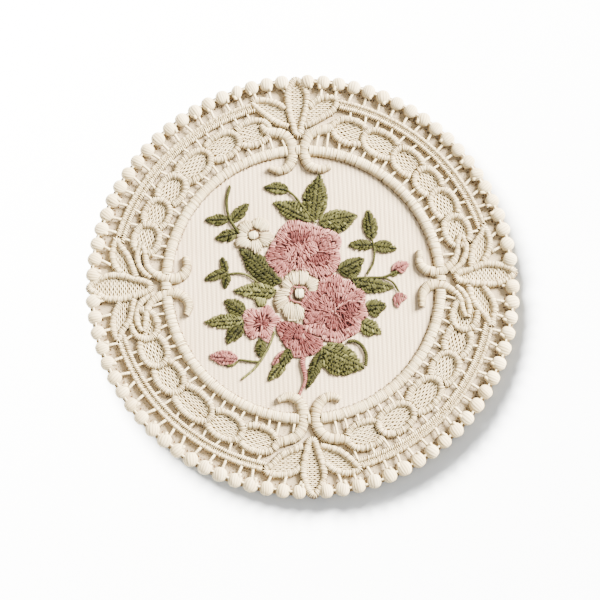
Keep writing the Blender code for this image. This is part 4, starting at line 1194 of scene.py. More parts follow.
@dataclass
class LaceNet:
    """The ring round the middle and the rows of medallions, tied together by brides."""

    palmette_covers: list[np.ndarray]
    medallion_sides: int = 64

    def medallion(self, first: float, last: float) -> np.ndarray:
        """Gives the centre line of a medallion's cord, between two bearings."""
        middle, spread = (first + last) / 2, (last - first) / 2
        reach = math.radians(spread) * MEDALLION_MIDDLE + CORD / 2
        t = np.arange(self.medallion_sides) / self.medallion_sides * math.tau
        across = reach * np.sign(np.cos(t)) * np.abs(np.cos(t)) ** 0.9
        away = (MEDALLION_HEIGHT / 2 - CORD) * np.sign(np.sin(t)) * np.abs(np.sin(t)) ** 0.9
        return turned(np.stack([across, MEDALLION_MIDDLE + away], 1), middle)

    def ring(self, material: bpy.types.Material) -> None:
        """Makes the broad satin ring.

        Args:
            material: the lace thread's finish.
        """
        work = ThreadWork("lace_ring")
        middle, half = (RING_INNER + RING_OUTER) / 2, (RING_OUTER - RING_INNER) / 2
        line = polar(middle, np.arange(360.0))
        wind_cord(work, line, half, LACE_FLOOR, RING_TOP, self.palmette_covers, RING_STYLE, 0.76, True)
        # Dark spots along the ring's inner edge: painted shade where its stitches go into the cloth.
        for bearing in np.arange(0, 360, 1.45) + CHANCE.normal(0, 0.25, 249):
            edge = polar(RING_INNER - CHANCE.uniform(0.25, 0.6), bearing)
            if CHANCE.random() < 0.8 and uncovered(edge[None], self.palmette_covers)[0]:
                speck_and_shade_spot(work, edge, CHANCE.uniform(0.3, 0.5), polar(1.0, bearing + 90), CLOTH_TOP + 0.34)
        settle(work.piece(material, warp=True), "lace_thread", "lace_border")

    def quarter(self, quarter: Quarter, material: bpy.types.Material) -> None:
        """Makes a quarter's medallions and brides as one piece.

        Args:
            quarter: its plan.
            material: the lace thread's finish.
        """
        work = ThreadWork("lace_net_" + quarter.name)
        lines = [self.medallion(a, b) for a, b in zip(quarter.joints, quarter.joints[1:])]
        outlines = [offset_loop(line, CORD) for line in lines]
        for index, line in enumerate(lines):
            covers = list(self.palmette_covers)
            if index and quarter.whole_first[index - 1]:
                covers.append(outlines[index - 1])
            if index + 1 < len(lines) and not quarter.whole_first[index]:
                covers.append(outlines[index + 1])
            middle = (quarter.joints[index] + quarter.joints[index + 1]) / 2
            tangent = left_of(polar(1.0, middle))
            net_fill(work, line, tangent, covers=covers, mesh=False)
            wind_cord(work, line, CORD, LACE_FLOOR, CORD_TOP, covers, KNOBBY, 0.72, True)
        self.brides(work, quarter, outlines)
        self.gap_shade_and_specks(work, quarter, outlines)
        settle(work.piece(material, warp=True), "lace_thread")

    def gap_shade_and_specks(self, work: ThreadWork, quarter: Quarter, outlines: list[np.ndarray]) -> None:
        """Scatters dark spots in the gaps: larger, darker ones close beside the cords are painted shade,
        and smaller, lighter ones elsewhere are specks of the cloth.

        Args:
            work: the mesh that takes them.
            quarter: its plan.
            outlines: the medallions' outlines.
        """
        solid = outlines + self.palmette_covers
        bearing = CHANCE.uniform(quarter.joints[0] - 4.0, quarter.joints[-1] + 4.0, HOLE_TRIES)
        radius = CHANCE.uniform(RING_OUTER + 0.1, RAIL_INNER - 0.1, HOLE_TRIES)
        free = polar(radius, bearing)
        held, near = np.zeros(len(free), bool), (radius < RING_OUTER + 0.6) | (radius > RAIL_INNER - 0.6)
        for loop in solid:
            held |= inside(free, offset_loop(loop, 0.1))
            near |= inside(free, offset_loop(loop, 0.65))
        for place, way, close in zip(free[~held], bearing[~held], near[~held]):
            size = CHANCE.uniform(0.22, 0.5) if close else CHANCE.uniform(0.14, 0.26)
            if CHANCE.random() < (0.3 if close else 0.55):
                speck_and_shade_spot(work, place, size, polar(1.0, way + CHANCE.uniform(0, 180)), tone=0.0 if close else 0.1)

    def brides(self, work: ThreadWork, quarter: Quarter, outlines: list[np.ndarray]) -> None:
        """Ties the medallions to the rail above and to the ring below.

        Args:
            work: the mesh that takes the brides.
            quarter: its plan.
            outlines: the medallions' outlines.
        """
        solid = outlines + self.palmette_covers
        first, last = quarter.joints[0] - 6.0, quarter.joints[-1] + 6.0
        for bearing in np.arange(first, last, 4.85):
            for start, inward in ((RAIL_INNER + 0.3, True), (RING_OUTER - 0.3, False)):
                at = bearing + CHANCE.uniform(-0.7, 0.7)
                reach = np.arange(0.9, 8.0, 0.15)
                radii = start - reach if inward else start + reach
                probe = polar(radii, at)
                hit = ~uncovered(probe, solid)
                near = polar(start - 0.5 if inward else start + 0.6, at)
                if not uncovered(near[None], self.palmette_covers)[0] or not hit.any():
                    continue
                bar_reach = radii[np.argmax(hit)] + (-0.5 if inward else 0.5)
                end = polar(bar_reach, at + CHANCE.uniform(-0.8, 0.8))
                bar(work, polar(start, at), end, 0.62, low=2.2, rise=0.35, tone=0.72)


@dataclass
class Edging:
    """A quarter of the beaded edge: the two-cord rail, the stems and the wrapped beads."""

    quarter: Quarter
    covers: list[np.ndarray]
    around: int = 72
    along: int = 10
    threads: int = 15

    def bead_bearings(self) -> np.ndarray:
        """Gives the bearings of the quarter's beads."""
        return np.linspace(*self.quarter.beads, BEADS_PER_QUARTER)

    def bead(self, work: ThreadWork, bearing: float, slim: float) -> None:
        """Adds a bead, wound with thread from its inner pole to its outer one.

        Args:
            work: the mesh that takes it.
            bearing: where it sits.
            slim: its width as a share of a full bead's.
        """
        t = np.linspace(0, math.pi, self.along + 2)[1:-1]
        phi = np.arange(self.around) / self.around * math.tau
        threads = self.threads + int(CHANCE.integers(-2, 3))
        ridge = np.abs(np.cos(threads * (phi[None] + 0.12 * np.cos(t)[:, None]) / 2 + CHANCE.uniform(0, 3)))
        lobes = (np.cos(phi * CHANCE.integers(3, 6) + CHANCE.uniform(0, 6))
                 + np.cos(phi * 2 + CHANCE.uniform(0, 6)))
        ridge = ridge ** 0.7
        swell = 1 + 0.085 * (ridge - 0.7) + 0.035 * lobes[None] * np.sin(t)[:, None] ** 0.5
        size = BEAD_RADIUS * (1 + CHANCE.normal(0, 0.018))
        belly = np.sin(t) ** 0.85
        out = -np.cos(t)[:, None] * size * 1.02 + 0 * phi[None]
        side = belly[:, None] * size * slim * np.cos(phi)[None] * swell
        lift = belly[:, None] * BEAD_HALF_HEIGHT * np.sin(phi)[None] * swell
        local = np.stack([side, out, lift], -1).reshape(-1, 3)
        poles = np.array([[0, -size * 1.0, 0], [0, size * 1.0, 0]])
        local = turned(np.concatenate([local, poles]), float(CHANCE.normal(0, 14)))
        plan = turned(local + np.array([0, BEAD_MIDDLE, 0]), bearing)
        plan[:, 2] += BEAD_CENTRE_HEIGHT
        n = self.along * self.around
        index = np.arange(n).reshape(self.along, self.around)
        after = np.roll(index, -1, 1)
        quads = np.stack([index[:-1], index[1:], after[1:], after[:-1]], -1).reshape(-1, 4)
        caps = [[n, int(a), int(b)] for a, b in zip(index[0], after[0])]
        caps += [[n + 1, int(b), int(a)] for a, b in zip(index[-1], after[-1])]
        # Painted shade: the grooves between the bead's threads get a low depth and are darkened.
        shade = 0.38 + 0.62 * ridge
        depth = np.concatenate([shade.ravel(), [0.5, 0.5]])
        tone = 0.68 + 0.06 * CHANCE.normal() + 0.06 * np.cos(phi * 5 + CHANCE.uniform(0, 6))
        tones = np.concatenate([np.broadcast_to(tone, (self.along, self.around)).ravel(), [0.5, 0.5]])
        fibres = np.stack(np.broadcast_arrays(t[:, None] * size, phi[None]), -1).reshape(-1, 2)
        work.shell(plan, quads, caps, tones, depth, np.concatenate([fibres, np.zeros((2, 2))]))

    def build(self, material: bpy.types.Material) -> None:
        """Makes the rail, the stems, the beads and the links between them as one piece.

        Args:
            material: the lace thread's finish.
        """
        work = ThreadWork("bead_edging_work_" + self.quarter.name)
        self.rail(work)
        bearings = self.bead_bearings()
        for bearing in CHANCE.uniform(*self.quarter.rail, RAIL_SPECKS):
            speck = polar(RAIL_OUTER + CHANCE.uniform(0.3, 4.6), bearing)
            speck_and_shade_spot(work, speck, CHANCE.uniform(0.13, 0.26), polar(1.0, CHANCE.uniform(0, 180)), tone=0.1)
        # A dark core under the beads, which keeps the table's shadow whole; its dark tone is painted shade
        # where it shows between the beads.
        span = np.linspace(bearings[0], bearings[-1], 160)
        core = np.concatenate([polar(BEAD_MIDDLE - 1.3, span), polar(BEAD_MIDDLE + 1.5, span)[::-1]])
        work.slab(core, 0.4, BEAD_CENTRE_HEIGHT - 0.5, 0.25, 0.5)
        for index, bearing in enumerate(bearings):
            slim = NARROW_BEAD[2] if (self.quarter.name, index) == NARROW_BEAD[:2] else 1.0
            self.bead(work, bearing, slim)
            self.stem(work, index, bearing)
        for first, second in zip(bearings, bearings[1:]):
            between = (first + second) / 2
            middle = BEAD_MIDDLE + CHANCE.uniform(-0.3, 0.5)
            link = polar(middle, np.array([between - 0.75, between + 0.75]))
            bar(work, link[0], link[1], 0.56, low=BEAD_CENTRE_HEIGHT + 0.45, rise=0.25, tone=0.76)
            # A dark spot of painted shade at the inner side of each gap between beads.
            speck_and_shade_spot(work, polar(BEAD_MIDDLE - 2.6, between), 0.6, polar(1.0, between), tone=0.1)
        settle(work.piece(material, warp=True), "lace_thread", "bead_edging_" + self.quarter.name)

    def stem(self, work: ThreadWork, index: int, bearing: float) -> None:
        """Ties a bead to the rail, or to the palmette beside it."""
        far = BEADS_PER_QUARTER - 1 - index
        if min(index, far) < len(PALMETTE_ROOTS):
            x, y = PALMETTE_ROOTS[min(index, far)]
            start_bearing = self.palmette_bearing(index < far)
            foot = turned([(x if index < far else -x, y)], start_bearing)[0]
        else:
            first, last = self.quarter.rail
            at = min(max(bearing + CHANCE.uniform(-0.8, 0.8), first + 0.4), last - 0.4)
            foot = polar(RAIL_OUTER - 0.4, at)
        neck = polar(BEAD_MIDDLE - BEAD_RADIUS + 0.9, bearing + CHANCE.uniform(-0.3, 0.3))
        bar(work, foot, neck, 0.72, low=2.5, rise=0.45, tone=0.72)
        if CHANCE.random() < 0.6:
            side = bearing + CHANCE.choice([-0.9, 0.9])
            tuck_sides = np.array([side, side + CHANCE.uniform(-0.4, 0.4)])
            tuck = polar(BEAD_MIDDLE - np.array([3.5, 1.3]), tuck_sides)
            bar(work, tuck[0], tuck[1], 0.85, low=BEAD_CENTRE_HEIGHT + 0.4, rise=0.8, tone=0.56)
        # Dark spots beside the bead's neck and the stem's foot: painted shade in the crevices there.
        for side in (-1, 1):
            if CHANCE.random() < 0.75:
                reach = polar(BEAD_MIDDLE - BEAD_RADIUS - 0.1, bearing + side * CHANCE.uniform(0.6, 1.2))
                speck_and_shade_spot(work, reach, CHANCE.uniform(0.45, 0.75), polar(1.0, bearing + 80))
                speck_and_shade_spot(work, foot + left_of(polar(1.0, bearing)) * side * 0.9, 0.5, polar(1.0, bearing))

    def palmette_bearing(self, start: bool) -> float:
        """Gives the bearing of the palmette at the quarter's start or end."""
        near = self.quarter.beads[0] if start else self.quarter.beads[1]
        return round(near / 90.0) * 90.0

    def rail(self, work: ThreadWork) -> None:
        """Lays the rail's two cords and the stitched ladder between them."""
        first, last = self.quarter.rail
        bearings = np.linspace(first - 1.5, last + 1.5, 90)
        for radius, half, wound in ((RAIL_INNER + RAIL_CORD, RAIL_CORD, INNER_RAIL),
                                    (RAIL_OUTER - 0.95, 0.95, OUTER_RAIL)):
            wind_cord(work, polar(radius, bearings), half, LACE_FLOOR, 3.55, self.covers, wound, 0.68)
        middle = (RAIL_INNER + RAIL_OUTER) / 2 + 0.22
        # A dark sheet under the ladder: painted shade between its threads.
        ground = np.concatenate([polar(middle - 1.3, bearings), polar(middle + 1.3, bearings)[::-1]])
        work.slab(ground, LACE_FLOOR, 1.9, 0.0, 0.05)
        steps = np.arange(first - 1.0, last + 1.0, 0.58)
        steps = steps + CHANCE.uniform(-0.05, 0.05, len(steps))
        steps = steps[uncovered(polar(middle, steps), self.covers)]
        t = np.linspace(-1, 1, 5)
        lean = CHANCE.uniform(-0.25, 0.25, len(steps))
        plan = polar(middle + 0.85 * t[None], steps[:, None] + lean[:, None] * t[None])
        lift = 2.35 + 0.45 * np.cos(t * 1.4)
        paths = np.concatenate([plan, np.broadcast_to(lift, plan.shape[:2])[..., None]], -1)
        flat = np.column_stack([left_of(polar(1.0, steps)), np.zeros(len(steps))])
        work.strands(paths, flat, 0.3, 0.28, THREAD_SIDES, 0.55 + CHANCE.normal(0, 0.1, len(steps)))


@dataclass(frozen=True)
class Leaf:
    """A pointed leaf, from where its stalk meets it to its tip, with its width at either side."""

    base: tuple[float, float]
    tip: tuple[float, float]
    left: float
    right: float
    lighter: float = 0.0


@dataclass(frozen=True)
class Stalk:
    """A stitched stem along a few points, of one width, and perhaps lighter than its motif."""

    points: tuple
    width: float = 1.3
    lighter: float = 0.0


@dataclass(frozen=True)
class Petal:
    """A patch of close stitches that spread from a focus, which lies far off where they run level."""

    outline: tuple
    focus: tuple[float, float]
    lighter: float = 0.0
    length: float = 2.7


@dataclass(frozen=True)
class Knot:
    """A raised middle of a few plump stitches, ringed by a dark sheet that paints its shadow."""

    centre: tuple[float, float]
    half: tuple[float, float]
    shadow_reach: float = 1.0


@dataclass(frozen=True)
class Motif:
    """A piece of the bouquet: its node, its tone, its slot and its shapes."""

    name: str
    tone: float
    slot: str
    shapes: tuple

    @property
    def family(self) -> Family:
        """Gives the thread family that its slot names."""
        return next(family for family in Family if family.value in self.slot)


def motif(name: str, tone: float, slot: str, *shapes: Leaf | Stalk | Petal | Knot) -> Motif:
    """Gathers shapes into a motif."""
    return Motif(name, tone, slot, shapes)


LIGHT_GREEN, MID_GREEN, DARK_GREEN = "light_green_thread", "green_thread", "dark_green_thread"
LIGHT_PINK, MID_PINK, DEEP_PINK = "light_pink_thread", "pink_thread", "deep_pink_thread"
IVORY_SLOT = "ivory_thread"
# The length of a stitch that is as long as its petal
SATIN = 9.0

IVORY_MIDDLE = (
    Knot((-2.3, -5), (1.85, 2.35), 0.9),
    Petal((-10.4, -13.6, -10.6, -11.6, -9.2, -10.2, -7.4, -9, -6.2, -8.8, -5.4, -9.8, -4.8, -12, -4.7, -15,
        -4.5, -18.2, -6.6, -17.8, -8.8, -17, -10, -15.6), (-5.8, -4), 0, SATIN),
    Petal((-5.2, -10, -3.8, -10, -2.6, -10.6, -1.2, -12.2, -0.7, -14.4, -1, -16.8, -2.4, -18, -3.8, -18.6,
        -4.4, -18.2, -4.5, -15), (-4.2, -4), 0.05, SATIN),
    Petal((-14, -6.8, -12, -6.4, -9.4, -5.8, -7.6, -6.6, -7.6, -8.4, -9.4, -10, -10.6, -11.6, -11.2, -13,
        -12.8, -13, -13.8, -11.4, -14.3, -9), (-4.6, -5.6), -0.03, SATIN),
    Petal((-14, -6.2, -13.6, -5, -12.6, -3.6, -11, -2.8, -9.4, -2.7, -7.2, -3.2, -6.6, -4.4, -7.4, -5.5,
        -9.4, -5.4, -12, -6), (-4, -4.6), 0, SATIN),
    Petal((-10.8, 1, -9.4, 2.6, -8, 2.2, -6.3, 0.2, -5.2, -1.6, -6.2, -2.7, -8, -2.5, -9.8, -2,
        -10.6, -0.6), (-3, -4.6), 0, SATIN),
    Petal((-8.4, 3.2, -6.4, 5, -4.4, 6.2, -3.1, 5.8, -2.8, 2, -3, -0.7, -4.4, -1, -5.8, 0.6, -7.4, 2.2),
        (-3.2, -8), 0.02, SATIN),
    Petal((-2.9, 5.8, -1, 6.2, 0.6, 5.8, 2.2, 4.6, 2.8, 3, 1.8, 1, 0.6, -0.4, -0.8, -1, -2, -0.8, -2.4, 2),
        (-2, -8), 0.05, SATIN),
    Petal((0.8, -0.6, 2, 1.4, 3.2, 2.1, 5.2, 2, 6.6, 0.8, 6.8, -1, 5.8, -3.2, 4, -4.1, 2, -3.6, 1.2, -2.2),
        (-3.4, -4), 0, SATIN),
)
IVORY_SMALL = (
    Knot((-22.5, 23.4), (2.1, 2.1)),
    Petal((-29.2, 25.4, -29.3, 28.4, -28, 30, -25.6, 30.6, -23.6, 30, -22.9, 28.4, -23.6, 26.4, -25, 25,
        -27, 24.8), (-22, 22.6), 0, SATIN),
    Petal((-22.5, 28.8, -22.3, 30.4, -20.6, 31.6, -17.6, 31.2, -15.4, 29.4, -15.2, 27, -16.6, 25.9,
        -19.4, 25.4, -21.2, 26.6), (-22.6, 22.2), 0.04, SATIN),
    Petal((-19.8, 23.8, -17.6, 24.4, -15, 24.7, -13.4, 23.4, -13.6, 21, -14.8, 18.8, -16.6, 18.2,
        -18.4, 19.2, -19.9, 21.8), (-23.4, 23), 0, SATIN),
    Petal((-20.1, 21.4, -18.8, 19, -18.9, 17.4, -20, 15.4, -21.8, 14.8, -23.4, 15.6, -24.4, 17.8,
        -23.8, 20.4, -22.2, 21), (-22.2, 25.4), 0.04, SATIN),
    Petal((-24.4, 20.8, -24.9, 18.6, -26.4, 17.4, -28.4, 17.7, -30.4, 18.4, -31.4, 20.2, -30, 21.6,
        -27.6, 22.7, -25.4, 22.4), (-21.6, 24.4), -0.03, SATIN),
    Petal((-25.3, 23.1, -27.6, 23.2, -30.2, 22.2, -30.6, 23.6, -29.4, 24.7, -27, 24.5, -25.2, 24.2), (-21.4,
        23.6), 0.05, SATIN),
    Stalk(((-19.9, 24.4), (-17.8, 25), (-15.6, 25.3)), 0.6, -0.7),
)
# In the roses, the middle petals with a negative lighter value are darker partly as painted shade in the
# flowers' cups.
ROSE_EAST = (
    Petal((24, -9.8, 27.4, -10, 28.2, -12, 29, -15, 28.4, -17.6, 26, -19, 25.4, -21.6, 24, -23.8, 21, -25,
        18.4, -24, 17.8, -22.4, 20.6, -21, 21, -19, 21.6, -17, 23.5, -15.5, 24.5, -13, 25.6, -11), (17,
        -14), 0.12),
    Petal((19.6, -7.6, 20.4, -9, 24, -9.6, 27.4, -9.8, 28.3, -7.5, 28, -5.2, 26, -3.6, 24.2, -3.6, 22, -5.2,
        20, -5), (16, -13), 0.07),
    Petal((14, -4, 14.4, -1.6, 16.6, -1, 18.2, 0.6, 19.4, 0.9, 21.5, 0.6, 23, -1, 24.2, -3.4, 22, -5.2,
        20, -5, 19.4, -7.4, 17, -7.4, 15, -6.4), (15.4, -14), 0.14),
    Petal((13.6, -7, 15, -6.4, 17, -7.4, 19.4, -7.4, 18.6, -9.4, 16, -11.4, 14.2, -11.6, 13.6, -9), (12,
        -18), -0.16, 2.2),
    Petal((7.2, 1.2, 9.2, 1.8, 12, 2.6, 14.5, 3.8, 16.5, 3.2, 18, 1.6, 18.2, 0.6, 16.6, -1, 14.4, -1.6,
        12.6, -2.6, 11.6, -1.6, 10.6, -0.4, 9, -0.8, 7, -1), (12.4, -12), 0.05),
    Petal((7, -1, 9, -0.8, 10.6, -0.4, 11.6, -1.6, 12.6, -2.6, 14, -4, 15, -6.4, 13.6, -7, 12, -6, 9, -5.6,
        7.4, -6.4, 6.6, -4), (9, -18), -0.05, 2.2),
    Petal((7.4, -6.4, 9, -5.6, 12, -6, 13.6, -7, 13.8, -10, 14, -12, 12.6, -13.6, 9.4, -13.8, 7.8, -11,
        7.2, -8.6), (11, -30), 0.05, 2.4),
    Petal((0.4, -4.4, 3, -4, 6.6, -4, 7.4, -6.4, 7.2, -8.6, 7.8, -11, 6.4, -12.8, 3.6, -13, 0, -13,
        -0.8, -11, -1.6, -9, -0.2, -6.4), (14, -22), 0, 2.5),
    Petal((0, -13, 3.6, -13, 6.4, -12.8, 9.4, -13.8, 9.6, -16.5, 9, -19.4, 5, -19.2, 2.6, -19.4,
        -0.4, -19.2, -1.4, -17, -0.5, -14), (14, -2), -0.03, 2.5),
    Petal((9.4, -13.8, 12.6, -13.8, 14.6, -16, 15.6, -19, 16, -22, 14, -23.4, 10.4, -22, 9, -19.4,
        9.6, -16.5), (15, -8), -0.1, 2.2),
    Petal((-1, -20.8, 0, -23.2, 2, -24, 4.5, -25, 7, -25.5, 8, -22.6, 9, -19.8, 5, -19.2, 2.6, -19.4,
        -0.4, -19.4), (6, -12), 0.1),
    Petal((8, -22.6, 9.2, -20.4, 10.4, -22, 14, -23.4, 16, -22.4, 17.6, -23.4, 18.4, -24, 21, -25,
        19, -26.8, 16, -28.4, 14.6, -29.2, 12, -28.4, 9.5, -27.8, 7.5, -27.4, 7, -25.5), (12.6, -16), 0.1),
    Petal((13, 2.2, 15.5, 3.9, 18, 1, 21.5, -0.3, 24, -3.6, 26.3, -3.8, 28.4, -8, 27.6, -12, 29.2, -15.8,
        26, -19.8, 24.5, -24, 18, -27.6, 15.5, -29.2, 11, -27.6, 8, -27.8, 6.5, -24.5, 0, -23.5,
        -1.5, -21.8, -1, -18, -0.8, -12.5, -2, -10.5, 0, -6, 1.2, -4.5, 4.5, -4, 6.5, -2.2, 7, 0.5, 9, 1.6),
        (14, -15), 0, 2.4),
    Stalk(((-6, 0.2), (-4.6, -1.7), (-2.4, -2.1), (0.2, -2.4), (1, -3.8)), 1, 0.05),
    Stalk(((-5.4, -2.2), (-6, -4.2), (-6.9, -5.7), (-6.4, -7.4), (-5, -8.6), (-3.4, -9.1), (-1.2, -9.7)),
        1.1),
    Stalk(((-6.6, -7.7), (-8, -9), (-9.4, -10.2)), 0.8, -0.05),
    Stalk(((-2.4, 1.6), (-2.4, -1.6)), 0.6, -0.2),
)
ROSE_NORTH = (
    Petal((-9.8, 26.5, -8, 28.3, -6, 30, -2, 30.2, 1, 29, 4, 28.3, 4.6, 26.5, 3.6, 24.6, 0.5, 24.3,
        -3, 24.8, -6.5, 24, -9.3, 24), (-2.5, 15), 0.1),
    Petal((-7, 24, -6.3, 21.5, -6.5, 19.6, -4, 18.2, -1, 18.6, 1.5, 20, 3.5, 20.6, 4, 22.5, 3.4, 24.6,
        0.5, 24.3, -3, 24.8), (-2, 10), -0.24, 2.1),
    Petal((-14.8, 18.4, -13.6, 21, -11.2, 22.6, -10.2, 25.5, -8.6, 24.6, -6.6, 23.6, -6.6, 20, -8, 18.2,
        -10, 17.6, -12.5, 17.2), (-3, 17), 0.08),
    Petal((-17.6, 13.3, -16, 15.2, -14.8, 17.8, -12.5, 17.2, -10, 17.6, -8.5, 16.8, -8.5, 14, -10.5, 12.4,
        -13, 11.8, -16, 11.6), (-4, 14.6), -0.04),
    Petal((-16.8, 11.6, -13, 11.8, -10.5, 12.4, -8.4, 12.2, -6.5, 9.6, -5, 8, -6, 6.4, -9, 4, -10.8, 2.4,
        -13.4, 4.4, -14.8, 7, -16.2, 9.4), (-4, 14), 0),
    Petal((-8.4, 18.2, -6.4, 19.6, -4, 18.2, -1, 18.6, 1.5, 20, 4, 20.4, 6.5, 19, 7.6, 16, 6.6, 13.6,
        3.5, 12.2, 1, 10, 0, 8.6, -3.5, 8.8, -6.5, 9.8, -8.4, 12.2, -8.6, 15), (-12, 90), 0.05, 2.5),
    Petal((4.6, 28.2, 6.5, 27.3, 8.5, 26.6, 11.5, 25.6, 14.5, 24.6, 16.4, 23.2, 18, 21.4, 18.6, 19, 18, 17,
        16.6, 15.6, 13.6, 15, 13.4, 18, 12, 21.4, 9, 22.6, 6.5, 22, 4.2, 21, 3.8, 24.6), (4, 14), 0.13),
    Petal((4, 20.4, 6.5, 22, 9, 22.6, 12, 21.4, 13.4, 18, 13.6, 15, 12.6, 12.6, 10.6, 14.4, 8, 14.2,
        6.6, 13.6, 7.6, 16, 6.5, 19), (2, 12), -0.03, 2.3),
    Petal((3.5, 12.2, 6.6, 13.6, 8, 14.4, 10.6, 14.4, 12.2, 12.4, 11.4, 9.6, 9, 8, 6.2, 7.6, 3.4, 8.2,
        1.4, 9.6), (5, 22), -0.22, 2.1),
    Petal((13.6, 15, 16.6, 15.6, 17.6, 12.5, 17.6, 10, 16.6, 8, 15.6, 6, 13.6, 5.2, 12, 5.8, 11.2, 7.6,
        11.8, 10, 12.6, 12.6), (6, 13), 0.08),
    Petal((-5, 8, -6, 6.6, -3, 6.3, 0, 6.2, 2.6, 5, 3.4, 3.4, 6, 2.4, 8.5, 1.6, 10.8, 2.6, 12.4, 3.6,
        14.5, 4.4, 15.4, 5.4, 13.6, 5.2, 12, 5.8, 11.2, 7.6, 9, 8, 6.2, 7.6, 3.4, 8.2, 1.4, 9.6, 0, 8.6,
        -3.5, 8.8), (3, 18), 0.06),
    Petal((-1, 29.8, 4, 28.1, 7, 26.3, 12, 25.5, 17, 22.8, 18.6, 19, 16.8, 13.5, 17.2, 9.5, 15.2, 5.6,
        11.5, 1.8, 7, 1.4, 3, 3.8, -2, 5.5, -8, 4.3, -9.5, 2.3, -11.5, 2.4, -15, 6.5, -17.6, 12.5,
        -15.2, 18, -12.8, 21.8, -10.4, 26, -6.3, 29.5), (0, 15), 0, 2.4),
)
# The small middle patch is darkened: painted shade in the flower's middle.
FLOWER_WEST = (
    Petal((-22.6, -16.6, -20, -15.4, -17.6, -16.4, -16.6, -18.6, -18, -21, -20.2, -21.4, -22.4, -20.4,
        -23, -18.6), (-19.8, -18.4), -0.26, 2),
    Petal((-28, -12.2, -26.5, -11.2, -24, -10.8, -22.4, -11.6, -20.8, -11.4, -19.4, -10.6, -18, -9.8,
        -16.6, -9.6, -15.4, -11, -14.2, -12.8, -13.8, -14, -12.4, -15, -11.2, -16.8, -12.2, -18.2,
        -13.4, -19.6, -14.8, -20.6, -15, -22, -16, -23.6, -16.2, -25.8, -17.4, -27.4, -19.2, -27,
        -20.6, -26.2, -22, -24.4, -24, -25.8, -26, -25.2, -27.6, -23.6, -28.4, -21.6, -29, -19.8, -28, -18,
        -29, -16, -28.8, -14), (-20.2, -18.2), 0.03, 3.6),
)
BLOSSOM_SOUTH = (
    Petal((-2.6, -24.2, -1, -23.4, 0.8, -24.4, 0.6, -26.4, -1.4, -26.8, -2.8, -25.8), (-1, -36), 0.16, 4),
    Petal((-13.4, -19.6, -11.6, -18, -9, -17.8, -6, -18.4, -3, -19.2, -0.8, -20.2, -1.6, -21.8, -4, -22.2,
        -5, -23.6, -6.4, -25.6, -9.2, -27.4, -11.6, -26.6, -12.6, -24.2, -13.6, -22), (0, -28), -0.02, 2.6),
    Petal((-10, -28.4, -9.4, -30, -7.4, -30.6, -7, -33.4, -5.6, -35, -3.8, -34.4, -2, -33.6, -1.6, -31,
        -2.4, -28, -3.6, -26.2, -6.4, -25.8, -8.6, -27.4), (-3, -23.4), 0.12),
    Petal((-2, -26.8, 0.6, -25.4, 3, -25, 6, -26, 7.4, -27.4, 7.6, -30, 6.4, -31.6, 4.4, -33, 2.4, -34.2,
        0, -34, -1.6, -33.4, -1.8, -30), (-2.8, -23), 0.02),
    Petal((-11, -17.6, -5, -18.6, -0.5, -20, 2, -24, 7.5, -27.5, 5.5, -31.5, 1.5, -34.2, -5, -35, -7, -32,
        -10, -29.6, -11.6, -26.6, -13.3, -22.6, -12.3, -18.6), (-3.4, -21), -0.04, 2.4),
)
HEART = (
    Stalk(((12.6, -14), (14, -13), (16, -11.6), (18.4, -9.8), (20.4, -9.2), (24, -9.6), (26, -9.9)), 0.95,
        0.55),
    Stalk(((18.4, -9.6), (19.5, -7)), 0.8, 0.5),
    Stalk(((12.6, -14), (14, -15), (15.2, -17), (16, -19.6), (16.8, -22), (17.6, -23.2)), 0.95, 0.55),
    Petal((13.8, -14, 16, -12, 18.6, -10.6, 21, -10, 24, -9.8, 25.6, -11, 24.5, -13, 23.5, -15.5, 21.6, -17,
        21, -19, 20.6, -21, 18.6, -22.2, 17.2, -22, 16.4, -19.4, 15.4, -16.8), (-40, 60), 0, 3.2),
)

